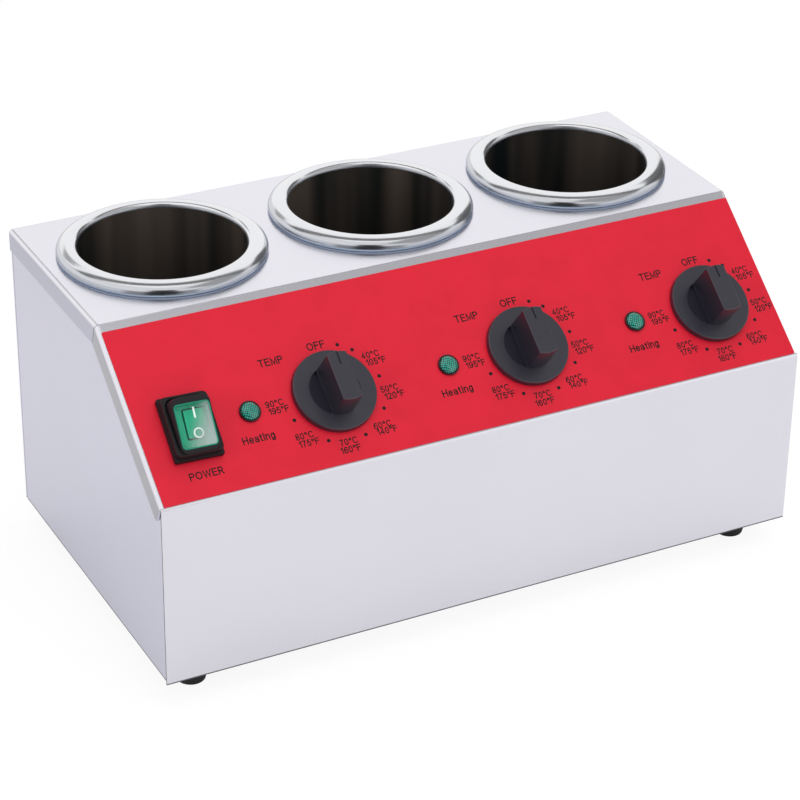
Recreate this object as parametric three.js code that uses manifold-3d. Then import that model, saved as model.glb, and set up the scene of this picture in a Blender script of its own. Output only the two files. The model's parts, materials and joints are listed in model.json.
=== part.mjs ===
// A counter-top topping warmer with three heated wells, a sloping control panel and rubber feet.
// Lengths are in millimetres, +Z is up, +X runs along the case and +Y points to its back.
// The origin is on the standing surface, under the middle of the whole warmer.
import * as THREE from 'three';
import { mergeVertices } from 'three/addons/utils/BufferGeometryUtils.js';
import Module from 'manifold-3d';

const wasm = await Module();
wasm.setup();

// Driving dimensions of the case.
const caseLength = 420;
const caseDepth = 232;
const caseHeight = 188.2;
const frontHeight = 115.6;
const slopeRun = 91;
const sheet = 1;
const bendRadius = 2;
const flangeDepth = 12.5;
const flangeSetback = 2.2;
const flangeCorner = 3;
const mitreGap = 0.6;
const returnWidth = 14;
const trayHeight = 12;

// Clearances that every piece shares.
const clearance = 0.3;
const overrun = 6;
const rootDepth = 1;
const shaftClearance = 0.35;

// Numbers of sides on round pieces.
const wideSides = 28;
const roundSides = 16;
const smallSides = 8;
const bendSteps = 3;
const cornerSteps = 3;
const slotSteps = 2;

// Wells, the pots that hold the toppings.
const well = {
  count: 3,
  endGap: 3.3,
  rimGap: 11.8,
  frontGap: 9.8,
  rearGap: 5.2,
  aboveBase: 38.2,
  wall: 1,
  floorRadius: 8,
  lipRadius: 2.5,
  rimHeight: 7,
  land: 2.8,
  grooveWidth: 0.9,
  grooveShare: 0.8,
  beadRadius: 3.5,
  holeGap: 3.3,
};
const gasket = { thickness: 1, width: 4.2, inset: 0.4 };

// Band heaters, clamped round the wells.
const heater = {
  thickness: 2.5,
  aboveWellFloor: 20,
  belowBulb: 6,
  slit: 6,
  earThickness: 1.5,
  earReach: 10,
  screwInset: 4,
};

// Control panel: the printed sheet and the places of what stands on it.
// Places are measured from the ends of the case and up the slope from the lower fold.
const overlay = {
  thickness: 0.4,
  fromLeft: 2.3,
  fromRight: 1.7,
  bottom: 1.5,
  belowFold: 5.312,
  cornerRadius: 2,
};
const switchPlace = { fromLeft: 31.9, up: 43.3 };
const lampPlace = { afterSwitch: 16.4, beforeDial: 52.5 };
const dial = { fromRight: 44.5, up: 44.8 };

// Thermostat knobs and what turns with them.
const knob = {
  radius: 25,
  skirt: 2.7,
  edge: 0.8,
  gripRadius: 15.5,
  gripWidth: 12,
  gripHeight: 20,
  gripEdge: 0.6,
  pocketLedge: 0.9,
  pocketDepth: 1.6,
  markWidth: 1,
  markLength: 7.5,
  markDepth: 0.6,
  aboveOverlay: 0.6,
};
const spindle = { radius: 3, intoBody: 12, intoKnob: 13, flat: 0.6, flatLength: 9 };
const bush = { radius: 4, aboveOverlay: 3.4 };
const bushNut = { flats: 11, height: 2 };
const thermostat = {
  width: 44,
  height: 34,
  depth: 22,
  cornerRadius: 4,
  tabWidth: 6.3,
  tabThickness: 0.8,
  tabLength: 8,
  tabSpacing: 18,
};
const capillary = {
  tubeRadius: 1,
  bulbRadius: 3,
  bulbLength: 55,
  aroundWell: 38,
  belowTop: 20,
  tubeSides: 6,
  tubeSteps: 12,
  bow: 10,
  exitUp: 8.5,
};

// Indicator lamps.
const lamp = {
  lensRadius: 6.4,
  lensEdge: 1.1,
  domeRadius: 5.4,
  dome: 2.4,
  stemRadius: 3.8,
  stemLength: 6,
  tubeRadius: 4.9,
  tubeLength: 22,
  collarRadius: 7,
  collarThickness: 2,
  floor: 3,
};

// Power switch: body, rocker and clear boot.
const power = {
  frameWidth: 29.6,
  frameHeight: 39.4,
  frameRise: 3.2,
  frameCorner: 1.2,
  rimWidth: 28,
  rimHeight: 36.6,
  rimRise: 4.3,
  rimCorner: 3,
  seatDepth: 3.8,
  housingWidth: 21.4,
  housingHeight: 31,
  housingDepth: 22,
  cavityWidth: 20,
  cavityHeight: 27.6,
  cavityBelow: 4,
  pivotAboveOverlay: 1.8,
  pinRadius: 1.1,
  pinLength: 1.9,
  tabWidth: 6.3,
  tabThickness: 0.8,
  tabLength: 9,
};
const rocker = {
  width: 18.8,
  length: 24.4,
  rise: 5.2,
  drop: 1,
  lensWidth: 12,
  lensLength: 18,
  lensRise: 0.6,
  tiltDegrees: 8,
};
const boot = { width: 23.2, length: 32.2, corner: 4.2, wall: 0.8, height: 6.4, play: 0.4 };

// Feet, fasteners and the supply entry.
const foot = {
  topRadius: 12,
  bottomRadius: 10,
  height: 16,
  edge: 1,
  recessRadius: 5.5,
  recessDepth: 8,
  fromSide: 24.4,
  fromEdge: 23,
};
const screw = { radius: 2, headRadius: 3.8, headHeight: 2.3, headEdge: 0.9, holeRadius: 2.35, grip: 3 };
const rearScrew = { fromSide: 7.5, fromEdge: 22 };
const vent = { width: 4, length: 30, pitch: 11, rearCount: 12, floorCount: 4, fromTop: 34 };
const gland = {
  fromSide: 60,
  up: 38,
  boreRadius: 4.2,
  threadRadius: 8,
  flats: 22,
  flangeThickness: 4.5,
  threadOutside: 10,
  threadInside: 10,
  nutThickness: 4,
  capRadius: 10.5,
  capEndRadius: 7.5,
  capLength: 15,
  capTaper: 6,
};
const terminals = {
  fromSide: 115,
  fromBack: 40,
  length: 42,
  width: 20,
  height: 16,
  poles: 3,
  poleSpacing: 12,
  poleWidth: 8,
  poleDepth: 9,
  screwOffset: 18,
};
const lead = { radius: 2.6, sides: 8, steps: 24, aboveFloor: 12, fromSide: 14, bend: 30 };

// Values worked out from the driving dimensions.
const slopeRise = caseHeight - frontHeight;
const slopeLength = Math.hypot(slopeRun, slopeRise);
const slopeAngle = Math.atan2(slopeRise, slopeRun);
const sideFace = caseLength / 2 - sheet - clearance;
const innerFront = sheet + clearance;
const rearFace = caseDepth - sheet - clearance;
const sideBack = rearFace - sheet - clearance;
const trayLimits = {
  side: sideFace - sheet - clearance,
  front: innerFront + sheet + clearance,
  back: sideBack - sheet - clearance,
};
const glandReach = gland.flangeThickness + clearance + gland.capLength + clearance;
const wholeDepth = rearFace + glandReach;
const overlayTop = clearance + overlay.thickness;
const underPanel = -sheet - clearance;
const knobBottom = overlayTop + knob.aboveOverlay;
const knobFace = knobBottom + knob.skirt;

// Each rim takes the room that its share of the top leaves, and the pot hangs inside the rim.
const wellSpacing = (caseLength - 2 * well.endGap) / well.count;
const rimRoom = caseDepth - slopeRun - well.frontGap - well.rearGap;
const rimRadius = Math.min(wellSpacing - well.rimGap, rimRoom) / 2;
const wellFromFront = slopeRun + well.frontGap + rimRoom / 2;
const beadAt = rimRadius - well.beadRadius;
const grooveRadius = beadAt - well.beadRadius * well.grooveShare;
const wellInner = grooveRadius - well.grooveWidth - well.land - well.lipRadius;
const wellOuter = wellInner + well.wall;
const wellFloorUnderside = well.aboveBase - well.wall;

// Each heater reaches from above the well's floor to below the sensing bulb.
const bulbTop = caseHeight - capillary.belowTop;
const bulbBottom = bulbTop - capillary.bulbLength;
const heaterBottom = wellFloorUnderside + heater.aboveWellFloor;
const heaterHeight = bulbBottom - heater.belowBulb - heaterBottom;

// Places along the case, from its middle.
const overlayLeft = overlay.fromLeft - caseLength / 2;
const overlayRight = caseLength / 2 - overlay.fromRight;
const switchAlong = switchPlace.fromLeft - caseLength / 2;
const firstLamp = switchAlong + power.frameWidth / 2 + lampPlace.afterSwitch + lamp.lensRadius;
const firstDial = firstLamp + lampPlace.beforeDial;
const lastDial = caseLength / 2 - dial.fromRight;
const glandAlong = gland.fromSide - caseLength / 2;

// Materials by finish.
const finish = (color, roughness, metalness, more = {}) =>
  new THREE.MeshStandardMaterial({ color, roughness, metalness, ...more });
const materials = {
  steel: finish(0xd3d2da, 0.32, 0.9),
  darkSteel: finish(0x8d8c8f, 0.4, 0.9),
  galvanised: finish(0xa8abad, 0.5, 0.8),
  red: finish(0xd92f3c, 0.45, 0),
  black: finish(0x2c2b30, 0.5, 0),
  charcoal: finish(0x414147, 0.55, 0),
  green: finish(0x16a07c, 0.25, 0),
  clear: finish(0xc8e6dc, 0.15, 0, { transparent: true, opacity: 0.4 }),
  rubber: finish(0x1b1a1d, 0.8, 0),
  silicone: finish(0xa9bccf, 0.5, 0),
  mica: finish(0xb9a77c, 0.6, 0.2),
  brass: finish(0xb89a52, 0.35, 0.9),
  copper: finish(0xb26b45, 0.35, 0.9),
  ceramic: finish(0xe6e0d2, 0.6, 0),
  nylon: finish(0x232326, 0.55, 0),
};

// Gives a geometry with shared corners, no flat triangles and faces that point out.
function closed(geometry) {
  const bare = geometry.clone();
  bare.deleteAttribute('normal');
  bare.deleteAttribute('uv');
  const merged = mergeVertices(bare);
  const index = merged.getIndex().array;
  const kept = [];
  for (let i = 0; i < index.length; i += 3) {
    const [a, b, c] = [index[i], index[i + 1], index[i + 2]];
    if (a !== b && b !== c && c !== a) kept.push(a, b, c);
  }
  merged.setIndex(kept);
  return signedVolume(merged) < 0 ? flipped(merged) : merged;
}

function signedVolume(geometry) {
  const place = geometry.getAttribute('position');
  const index = geometry.getIndex().array;
  const [a, b, c] = [new THREE.Vector3(), new THREE.Vector3(), new THREE.Vector3()];
  let total = 0;
  for (let i = 0; i < index.length; i += 3) {
    a.fromBufferAttribute(place, index[i]);
    b.fromBufferAttribute(place, index[i + 1]);
    c.fromBufferAttribute(place, index[i + 2]);
    total += a.dot(b.cross(c));
  }
  return total;
}

function flipped(geometry) {
  const index = geometry.getIndex().array;
  const turned = [];
  for (let i = 0; i < index.length; i += 3) turned.push(index[i], index[i + 2], index[i + 1]);
  geometry.setIndex(turned);
  return geometry;
}

function toSolid(geometry) {
  const merged = closed(geometry);
  const vertProperties = new Float32Array(merged.getAttribute('position').array);
  const triVerts = new Uint32Array(merged.getIndex().array);
  return new wasm.Manifold(new wasm.Mesh({ numProp: 3, vertProperties, triVerts }));
}

function toGeometry(solid) {
  const mesh = solid.getMesh();
  const geometry = new THREE.BufferGeometry();
  geometry.setAttribute('position', new THREE.BufferAttribute(mesh.vertProperties, 3));
  geometry.setIndex(new THREE.BufferAttribute(mesh.triVerts, 1));
  return geometry;
}

function join(...pieces) {
  return toGeometry(pieces.map(toSolid).reduce((whole, piece) => whole.add(piece)));
}

function cut(base, cutters) {
  return toGeometry(cutters.map(toSolid).reduce((whole, tool) => whole.subtract(tool), toSolid(base)));
}

function common(first, second) {
  return toGeometry(toSolid(first).intersect(toSolid(second)));
}

// Points on a circle, the first one on the +X side.
function circlePoints(radius, sides, x = 0, y = 0) {
  return Array.from({ length: sides }, (_, i) => {
    const angle = (i / sides) * 2 * Math.PI;
    return new THREE.Vector2(x + radius * Math.cos(angle), y + radius * Math.sin(angle));
  });
}

// Points on an arc from one angle to another, both ends included.
function arcPoints(x, y, radius, from, to, steps) {
  return Array.from({ length: steps + 1 }, (_, i) => {
    const angle = from + ((to - from) * i) / steps;
    return new THREE.Vector2(x + radius * Math.cos(angle), y + radius * Math.sin(angle));
  });
}

// Corners of a rectangle with rounded corners, about the place given.
function roundedPoints(width, height, radius, x = 0, y = 0) {
  const quarter = Math.PI / 2;
  const centres = [[1, 1], [-1, 1], [-1, -1], [1, -1]];
  return centres.flatMap(([sx, sy], i) => {
    const cx = x + sx * (width / 2 - radius);
    const cy = y + sy * (height / 2 - radius);
    return arcPoints(cx, cy, radius, i * quarter, (i + 1) * quarter, cornerSteps);
  });
}

function shapeOf(points, holes = []) {
  const shape = new THREE.Shape(points);
  shape.holes = holes.map((hole) => new THREE.Path(hole));
  return shape;
}

const points = (list) => list.map(([x, y]) => new THREE.Vector2(x, y));

// Extrusions along Z, along X from a side outline in (y, z), and along Y from one in (x, z).
function alongZ(shape, from, to) {
  const geometry = new THREE.ExtrudeGeometry(shape, { depth: to - from, bevelEnabled: false });
  return geometry.translate(0, 0, from);
}

function alongX(shape, from, to) {
  const turn = new THREE.Matrix4().makeBasis(
    new THREE.Vector3(0, 1, 0), new THREE.Vector3(0, 0, 1), new THREE.Vector3(1, 0, 0));
  return alongZ(shape, from, to).applyMatrix4(turn);
}

function alongY(shape, from, to) {
  return alongZ(shape, -to, -from).rotateX(Math.PI / 2);
}

// A box from its lowest and highest corners.
function block([x0, y0, z0], [x1, y1, z1]) {
  const geometry = new THREE.BoxGeometry(x1 - x0, y1 - y0, z1 - z0);
  return geometry.translate((x0 + x1) / 2, (y0 + y1) / 2, (z0 + z1) / 2);
}

// A round bar along Z, moved to the place given.
function bar(radius, from, to, sides, x = 0, y = 0) {
  return alongZ(shapeOf(circlePoints(radius, sides, x, y)), from, to);
}

// A solid turned about the Z axis from a profile in (radius, z).
function turned(profile, sides) {
  return new THREE.LatheGeometry(profile, sides).rotateX(Math.PI / 2);
}

function hexagon(flats) {
  return circlePoints(flats / Math.sqrt(3), 6);
}

// The two faces of a folded sheet whose outer face runs through the corners given.
// The sheet lies on the right-hand side of that path, and each fold is rounded.
function foldedPoints(corners) {
  const outer = [];
  const inner = [];
  const direction = (i) => corners[i + 1].clone().sub(corners[i]).normalize();
  const inward = (d) => new THREE.Vector2(d.y, -d.x);
  const last = corners.length - 1;
  const addPair = (centre, normal, radius) => {
    outer.push(centre.clone().addScaledVector(normal, -radius));
    inner.push(centre.clone().addScaledVector(normal, sheet - radius));
  };
  addPair(corners[0], inward(direction(0)), 0);
  for (let i = 1; i < last; i += 1) {
    const [before, after] = [direction(i - 1), direction(i)];
    const bend = before.angleTo(after);
    const setback = bendRadius * Math.tan(bend / 2);
    const centre = corners[i].clone().addScaledVector(before, -setback);
    centre.addScaledVector(inward(before), bendRadius);
    for (let step = 0; step <= bendSteps; step += 1) {
      const normal = inward(before).rotateAround(new THREE.Vector2(), (-bend * step) / bendSteps);
      addPair(centre, normal, bendRadius);
    }
  }
  addPair(corners[last], inward(direction(last - 1)), 0);
  return { outer, inner };
}

function foldedOutline(corners) {
  const { outer, inner } = foldedPoints(corners);
  return shapeOf([...outer, ...inner.reverse()]);
}

// The side view of the case, drawn in by the distance given.
function sideView(inset) {
  const slopeDrop = inset / Math.cos(slopeAngle);
  const top = caseHeight - inset;
  const foldY = slopeRun + inset * Math.tan(slopeAngle / 2);
  const kneeZ = frontHeight - slopeDrop + inset * Math.tan(slopeAngle);
  return points([[inset, 0], [caseDepth, 0], [caseDepth, top], [foldY, top], [inset, kneeZ]]);
}

const model = new THREE.Group();
const caseGroup = new THREE.Group();
caseGroup.position.set(0, -wholeDepth / 2, foot.height);
model.add(caseGroup);

// Everything on the control panel hangs from this group: +Y runs up the slope, +Z stands off it.
const panelGroup = new THREE.Group();
panelGroup.position.set(0, 0, frontHeight);
panelGroup.rotation.x = slopeAngle;
caseGroup.add(panelGroup);

function add(name, geometry, material, parent = caseGroup, [x, y, z] = [0, 0, 0]) {
  const mesh = new THREE.Mesh(closed(geometry), material.clone());
  mesh.name = name;
  mesh.position.set(x, y, z);
  parent.add(mesh);
  return mesh;
}

// A cutting tool that is drawn on the panel, given in the case's own axes.
function fromPanel(geometry) {
  panelGroup.updateMatrix();
  return geometry.applyMatrix4(panelGroup.matrix);
}

const wellNumbers = Array.from({ length: well.count }, (_, i) => i);
const wellAlong = (i) => (i - (well.count - 1) / 2) * wellSpacing;
const dialAlong = (i) => firstDial + ((lastDial - firstDial) * i) / (well.count - 1);
const lampAlong = (i) => dialAlong(i) - lampPlace.beforeDial;
const bushHole = bush.radius + shaftClearance;
const lampHole = lamp.tubeRadius + shaftClearance;

// The cover's outline in side view: front, slope, top and the flange at the back.
function coverCorners() {
  return points([
    [0, 0],
    [0, frontHeight],
    [slopeRun, caseHeight],
    [caseDepth, caseHeight],
    [caseDepth, caseHeight - flangeDepth],
  ]);
}

// What lies below the side flanges and behind the front sheet, in side view.
function belowFlanges() {
  const onSlope = (along, under) => new THREE.Vector2(
    along * Math.cos(slopeAngle) + under * Math.sin(slopeAngle),
    frontHeight + along * Math.sin(slopeAngle) - under * Math.cos(slopeAngle));
  const round = flangeSetback + flangeCorner;
  const centre = onSlope(round, flangeDepth - flangeCorner);
  const start = Math.PI + slopeAngle;
  const under = caseHeight - flangeDepth;
  return [
    new THREE.Vector2(sheet, -overrun),
    new THREE.Vector2(sheet, frontHeight - bendRadius),
    onSlope(flangeSetback, sheet + clearance),
    ...arcPoints(centre.x, centre.y, flangeCorner, start, start + Math.PI / 2, bendSteps),
    new THREE.Vector2(slopeRun + flangeDepth * Math.tan(slopeAngle / 2), under),
    new THREE.Vector2(caseDepth + overrun, under),
    new THREE.Vector2(caseDepth + overrun, -overrun),
  ];
}

// The saw cut that parts the top's flange from the slope's.
function mitreCut(from, to) {
  const length = flangeDepth + overrun;
  const half = mitreGap / 2;
  const cutter = block([from - overrun, -half, -length], [to + overrun, half, -sheet - clearance]);
  return cutter.rotateX(slopeAngle / 2).translate(0, slopeRun, caseHeight);
}

function topCover() {
  const half = caseLength / 2;
  const folds = foldedPoints(coverCorners());
  const outside = alongX(shapeOf([...folds.outer, new THREE.Vector2(caseDepth, 0)]), -half, half);
  const under = caseHeight - flangeDepth - overrun;
  const cavity = [
    new THREE.Vector2(sheet, -overrun),
    ...folds.inner.slice(1, -1),
    new THREE.Vector2(caseDepth - sheet, under),
    new THREE.Vector2(caseDepth - sheet, -overrun),
  ];
  const inside = alongX(shapeOf(cavity), sheet - half, half - sheet);
  const below = alongX(shapeOf(belowFlanges()), -half - overrun, half + overrun);
  const holeRadius = wellOuter + well.holeGap;
  const wellHoles = wellNumbers.map((i) => bar(
    holeRadius, caseHeight - overrun, caseHeight + overrun, wideSides, wellAlong(i), wellFromFront));
  const bushHoles = wellNumbers.map((i) => fromPanel(
    bar(bushHole, -overrun, overrun, roundSides, dialAlong(i), dial.up)));
  const lampHoles = wellNumbers.map((i) => fromPanel(
    bar(lampHole, -overrun, overrun, roundSides, lampAlong(i), dial.up)));
  const switchHole = fromPanel(alongZ(shapeOf(switchCutout()), -overrun, overrun));
  const mitres = [mitreCut(-half, sheet - half), mitreCut(half - sheet, half)];
  return cut(outside, [inside, below, ...wellHoles, ...bushHoles, ...lampHoles, switchHole, ...mitres]);
}

function switchCutout() {
  const width = power.housingWidth + 2 * clearance;
  const height = power.housingHeight + 2 * clearance;
  return roundedPoints(width, height, power.frameCorner, switchAlong, switchPlace.up);
}

function controlOverlay() {
  const top = slopeLength - overlay.belowFold;
  const width = overlayRight - overlayLeft;
  const height = top - overlay.bottom;
  const [x, y] = [(overlayRight + overlayLeft) / 2, (top + overlay.bottom) / 2];
  const holes = [
    ...wellNumbers.map((i) => circlePoints(bushHole, roundSides, dialAlong(i), dial.up)),
    ...wellNumbers.map((i) => circlePoints(lampHole, roundSides, lampAlong(i), dial.up)),
    switchCutout(),
  ];
  const outline = roundedPoints(width, height, overlay.cornerRadius, x, y);
  return alongZ(shapeOf(outline, holes), clearance, overlayTop);
}

// Side panel with its front and back edges folded in; the side is +1 for right and -1 for left.
function sidePanel(side) {
  const corners = points([
    [sideFace - returnWidth, sideBack],
    [sideFace, sideBack],
    [sideFace, innerFront],
    [sideFace - returnWidth, innerFront],
  ]);
  const folded = alongZ(foldedOutline(corners), 0, caseHeight);
  const profile = alongX(shapeOf(sideView(sheet + clearance)), 0, caseLength);
  const holes = rearScrewHeights().map((z) => alongY(
    shapeOf(circlePoints(screw.holeRadius, smallSides, sideFace - rearScrew.fromSide, z)),
    sideBack - overrun, sideBack + overrun));
  return cut(common(folded, profile), holes).scale(side, 1, 1);
}

function rearScrewHeights() {
  return [rearScrew.fromEdge, caseHeight - flangeDepth - rearScrew.fromEdge];
}

function slotPoints(x, y, length, width) {
  const reach = (length - width) / 2;
  return [
    ...arcPoints(x, y + reach, width / 2, 0, Math.PI, slotSteps),
    ...arcPoints(x, y - reach, width / 2, Math.PI, 2 * Math.PI, slotSteps),
  ];
}

function rearPanel() {
  const top = caseHeight - bendRadius - clearance;
  const outline = points([[-sideFace, 0], [sideFace, 0], [sideFace, top], [-sideFace, top]]);
  const middle = (vent.rearCount - 1) / 2;
  const slots = Array.from({ length: vent.rearCount }, (_, i) => slotPoints(
    (i - middle) * vent.pitch, top - vent.fromTop, vent.length, vent.width));
  const screws = rearScrewHeights().flatMap((z) => [-1, 1].map((side) => circlePoints(
    screw.holeRadius, smallSides, side * (sideFace - rearScrew.fromSide), z)));
  const entry = circlePoints(gland.threadRadius + shaftClearance, roundSides, glandAlong, gland.up);
  return alongY(shapeOf(outline, [...slots, ...screws, entry]), rearFace - sheet, rearFace);
}

const footPlaces = [
  ['front_left', -1, foot.fromEdge],
  ['front_right', 1, foot.fromEdge],
  ['back_left', -1, caseDepth - foot.fromEdge],
  ['back_right', 1, caseDepth - foot.fromEdge],
].map(([name, side, y]) => ({ name, x: side * (caseLength / 2 - foot.fromSide), y }));

const terminalPlace = { x: terminals.fromSide - caseLength / 2, y: caseDepth - terminals.fromBack };

// Tray that closes the case from below, with vents under each well.
function basePlate() {
  const { side, front, back } = trayLimits;
  const outline = roundedPoints(2 * side, back - front, bendRadius, 0, (front + back) / 2);
  const middle = (vent.floorCount - 1) / 2;
  const slots = wellNumbers.flatMap((i) => Array.from({ length: vent.floorCount }, (_, k) => slotPoints(
    wellAlong(i) + (k - middle) * vent.pitch, wellFromFront / 2, vent.length, vent.width)));
  const screws = footPlaces.map(({ x, y }) => circlePoints(screw.holeRadius, smallSides, x, y));
  const blockScrew = circlePoints(
    screw.holeRadius, smallSides, terminalPlace.x + terminals.screwOffset, terminalPlace.y);
  const tray = alongZ(shapeOf(outline, [...slots, ...screws, blockScrew]), 0, trayHeight);
  const hollow = block(
    [sheet - side, front + sheet, sheet],
    [side - sheet, back - sheet, trayHeight + overrun]);
  return cut(tray, [hollow]);
}

// Deep pot with a rolled rim. The profile runs up the inside, over the rim and back down the outside.
function wellPot() {
  const floor = well.aboveBase - caseHeight;
  const beadZ = well.rimHeight - well.beadRadius;
  const lipX = wellInner + well.lipRadius;
  const lipZ = well.rimHeight - well.lipRadius;
  const grooveAngle = Math.acos(-well.grooveShare);
  const tuckAngle = -Math.asin((beadZ - clearance * 2 - gasket.thickness) / well.beadRadius);
  const quarter = Math.PI / 2;
  const grooveZ = beadZ + well.beadRadius * Math.sin(grooveAngle);
  const inside = [
    new THREE.Vector2(0, floor),
    ...arcPoints(wellInner - well.floorRadius, floor + well.floorRadius,
      well.floorRadius, -quarter, 0, bendSteps),
    ...arcPoints(lipX, lipZ, well.lipRadius, Math.PI, quarter, bendSteps),
    new THREE.Vector2(grooveRadius - well.grooveWidth, grooveZ + well.grooveWidth),
    ...arcPoints(beadAt, beadZ, well.beadRadius, grooveAngle, tuckAngle, cornerSteps),
  ];
  const outerFloor = floor - well.wall;
  const outside = [
    ...arcPoints(beadAt, beadZ, well.beadRadius - well.wall, tuckAngle, grooveAngle, bendSteps),
    ...arcPoints(lipX, lipZ, well.lipRadius - well.wall, quarter, Math.PI, slotSteps),
    ...arcPoints(wellOuter - well.floorRadius, outerFloor + well.floorRadius,
      well.floorRadius, 0, -quarter, bendSteps),
    new THREE.Vector2(0, outerFloor),
  ];
  return turned([...inside, ...outside], wideSides);
}

function ring(inner, outer, from, to, sides) {
  return alongZ(shapeOf(circlePoints(outer, sides), [circlePoints(inner, sides)]), from, to);
}

// Split band round a well, with two ears that a screw draws together.
function bandHeater() {
  const inner = wellOuter + clearance;
  const outer = inner + heater.thickness;
  const half = heater.slit / 2;
  const band = ring(inner, outer, 0, heaterHeight, wideSides);
  const slit = block([-half, -outer - overrun, -overrun], [half, -inner + overrun, heaterHeight + overrun]);
  const ears = [-1, 1].map((side) => {
    const [near, far] = [side * half, side * (half + heater.earThickness)];
    return block(
      [Math.min(near, far), -outer - heater.earReach, 0],
      [Math.max(near, far), heater.thickness / 2 - outer, heaterHeight]);
  });
  return cut(join(cut(band, [slit]), ...ears), [clampAxisBar(screw.holeRadius, -outer, outer)]);
}

// A bar along X where the clamp screw of a heater runs.
function clampAxisBar(radius, from, to) {
  const y = -(wellOuter + clearance + heater.thickness + heater.earReach - heater.screwInset);
  return alongX(shapeOf(circlePoints(radius, smallSides, y, heaterHeight / 2)), from, to);
}

function clampScrew() {
  const earFace = heater.slit / 2 + heater.earThickness;
  const headFrom = earFace + clearance;
  const shank = clampAxisBar(screw.radius, -earFace - screw.grip, headFrom + rootDepth);
  return join(shank, clampAxisBar(screw.headRadius, headFrom, headFrom + screw.headHeight));
}

function thermostatBody() {
  const back = underPanel - thermostat.depth;
  const box = alongZ(
    shapeOf(roundedPoints(thermostat.width, thermostat.height, thermostat.cornerRadius)), back, underPanel);
  const neck = bar(bush.radius, underPanel - rootDepth, overlayTop + bush.aboveOverlay, roundSides);
  const tabs = [-1, 1].map((side) => {
    const x = (side * thermostat.tabSpacing) / 2;
    const [w, t] = [thermostat.tabWidth / 2, thermostat.tabThickness / 2];
    return block([x - w, -t, back - thermostat.tabLength], [x + w, t, back + rootDepth]);
  });
  const bore = bar(spindle.radius + shaftClearance, underPanel - spindle.intoBody - clearance,
    overlayTop + bush.aboveOverlay + overrun, roundSides);
  return cut(join(box, neck, ...tabs), [bore]);
}

function bushNutSolid() {
  const from = overlayTop + clearance;
  const outline = shapeOf(hexagon(bushNut.flats), [circlePoints(bushHole, roundSides)]);
  return alongZ(outline, from, from + bushNut.height);
}

function spindleSolid() {
  const top = knobBottom + spindle.intoKnob;
  const shaft = bar(spindle.radius, underPanel - spindle.intoBody, top, roundSides);
  const flat = block(
    [-spindle.radius - overrun, spindle.radius - spindle.flat, top - spindle.flatLength],
    [spindle.radius + overrun, spindle.radius + overrun, top + overrun]);
  return cut(shaft, [flat]);
}

// Round skirt with a straight grip across it and a half-moon pocket on each side of the grip.
function knobSolid() {
  const skirt = turned(points([
    [0, knobBottom],
    [knob.radius, knobBottom],
    [knob.radius, knobFace - knob.edge],
    [knob.radius - knob.edge, knobFace],
    [0, knobFace],
  ]), wideSides);
  const top = knobFace + knob.gripHeight;
  const grip = join(
    alongZ(shapeOf(gripPoints(0)), knobFace - rootDepth, top - knob.gripEdge),
    alongZ(shapeOf(gripPoints(knob.gripEdge)), knobFace, top));
  const nutRecess = bushNut.flats / Math.sqrt(3) + shaftClearance;
  const nutTop = overlayTop + clearance + bushNut.height + clearance;
  const neckTop = overlayTop + bush.aboveOverlay + clearance;
  const under = knobBottom - overrun;
  return cut(join(skirt, grip), [
    ...[-1, 1].map((side) => knobPocket(side)),
    markCut(top),
    bar(nutRecess, under, nutTop, roundSides),
    bar(bushHole, under, neckTop, roundSides),
    bar(spindle.radius + shaftClearance, under, knobBottom + spindle.intoKnob + clearance, roundSides),
  ]);
}

// The grip's outline: two flat sides and two ends on one circle, drawn in by the inset.
function gripPoints(inset) {
  const radius = knob.gripRadius - inset;
  const half = knob.gripWidth / 2 - inset;
  const from = Math.acos(half / radius);
  return [
    ...arcPoints(0, 0, radius, from, Math.PI - from, cornerSteps * 2),
    ...arcPoints(0, 0, radius, Math.PI + from, 2 * Math.PI - from, cornerSteps * 2),
  ];
}

function knobPocket(side) {
  const near = knob.gripWidth / 2 + knob.pocketLedge;
  const reach = Math.acos(near / knob.gripRadius);
  const middle = side > 0 ? 0 : Math.PI;
  const outline = arcPoints(0, 0, knob.gripRadius, middle - reach, middle + reach, cornerSteps * 3);
  return alongZ(shapeOf(outline), knobFace - knob.pocketDepth, knobFace + overrun);
}

function markCut(top) {
  const half = knob.markWidth / 2;
  const start = knob.gripRadius - knob.markLength;
  return block([-half, start, top - knob.markDepth], [half, knob.gripRadius + overrun, top + overrun]);
}

// Sensing bulb beside a well with its thin tube up to the thermostat, in the case's own axes.
function capillarySolid(i) {
  const angle = THREE.MathUtils.degToRad(capillary.aroundWell);
  const reach = wellOuter + clearance * 2 + capillary.bulbRadius;
  const bulbX = wellAlong(i) + reach * Math.sin(angle);
  const bulbY = wellFromFront - reach * Math.cos(angle);
  const bulb = bar(capillary.bulbRadius, bulbBottom, bulbTop, smallSides, bulbX, bulbY);
  const back = underPanel - thermostat.depth - clearance;
  panelGroup.updateMatrix();
  const onPanel = (x, y, z) => new THREE.Vector3(x, y, z).applyMatrix4(panelGroup.matrix);
  const route = new THREE.CatmullRomCurve3([
    onPanel(dialAlong(i), dial.up + capillary.exitUp, back),
    onPanel(dialAlong(i), dial.up + capillary.exitUp, back - capillary.bow),
    new THREE.Vector3(bulbX, bulbY, bulbTop + capillary.bow),
    new THREE.Vector3(bulbX, bulbY, bulbTop - capillary.bulbRadius),
  ], false, 'centripetal');
  return join(bulb, tube(route, capillary.tubeRadius, capillary.tubeSides, capillary.tubeSteps));
}

function tube(route, radius, sides, steps) {
  const section = shapeOf(circlePoints(radius, sides));
  return new THREE.ExtrudeGeometry(section, { steps, extrudePath: route, bevelEnabled: false });
}

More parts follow.
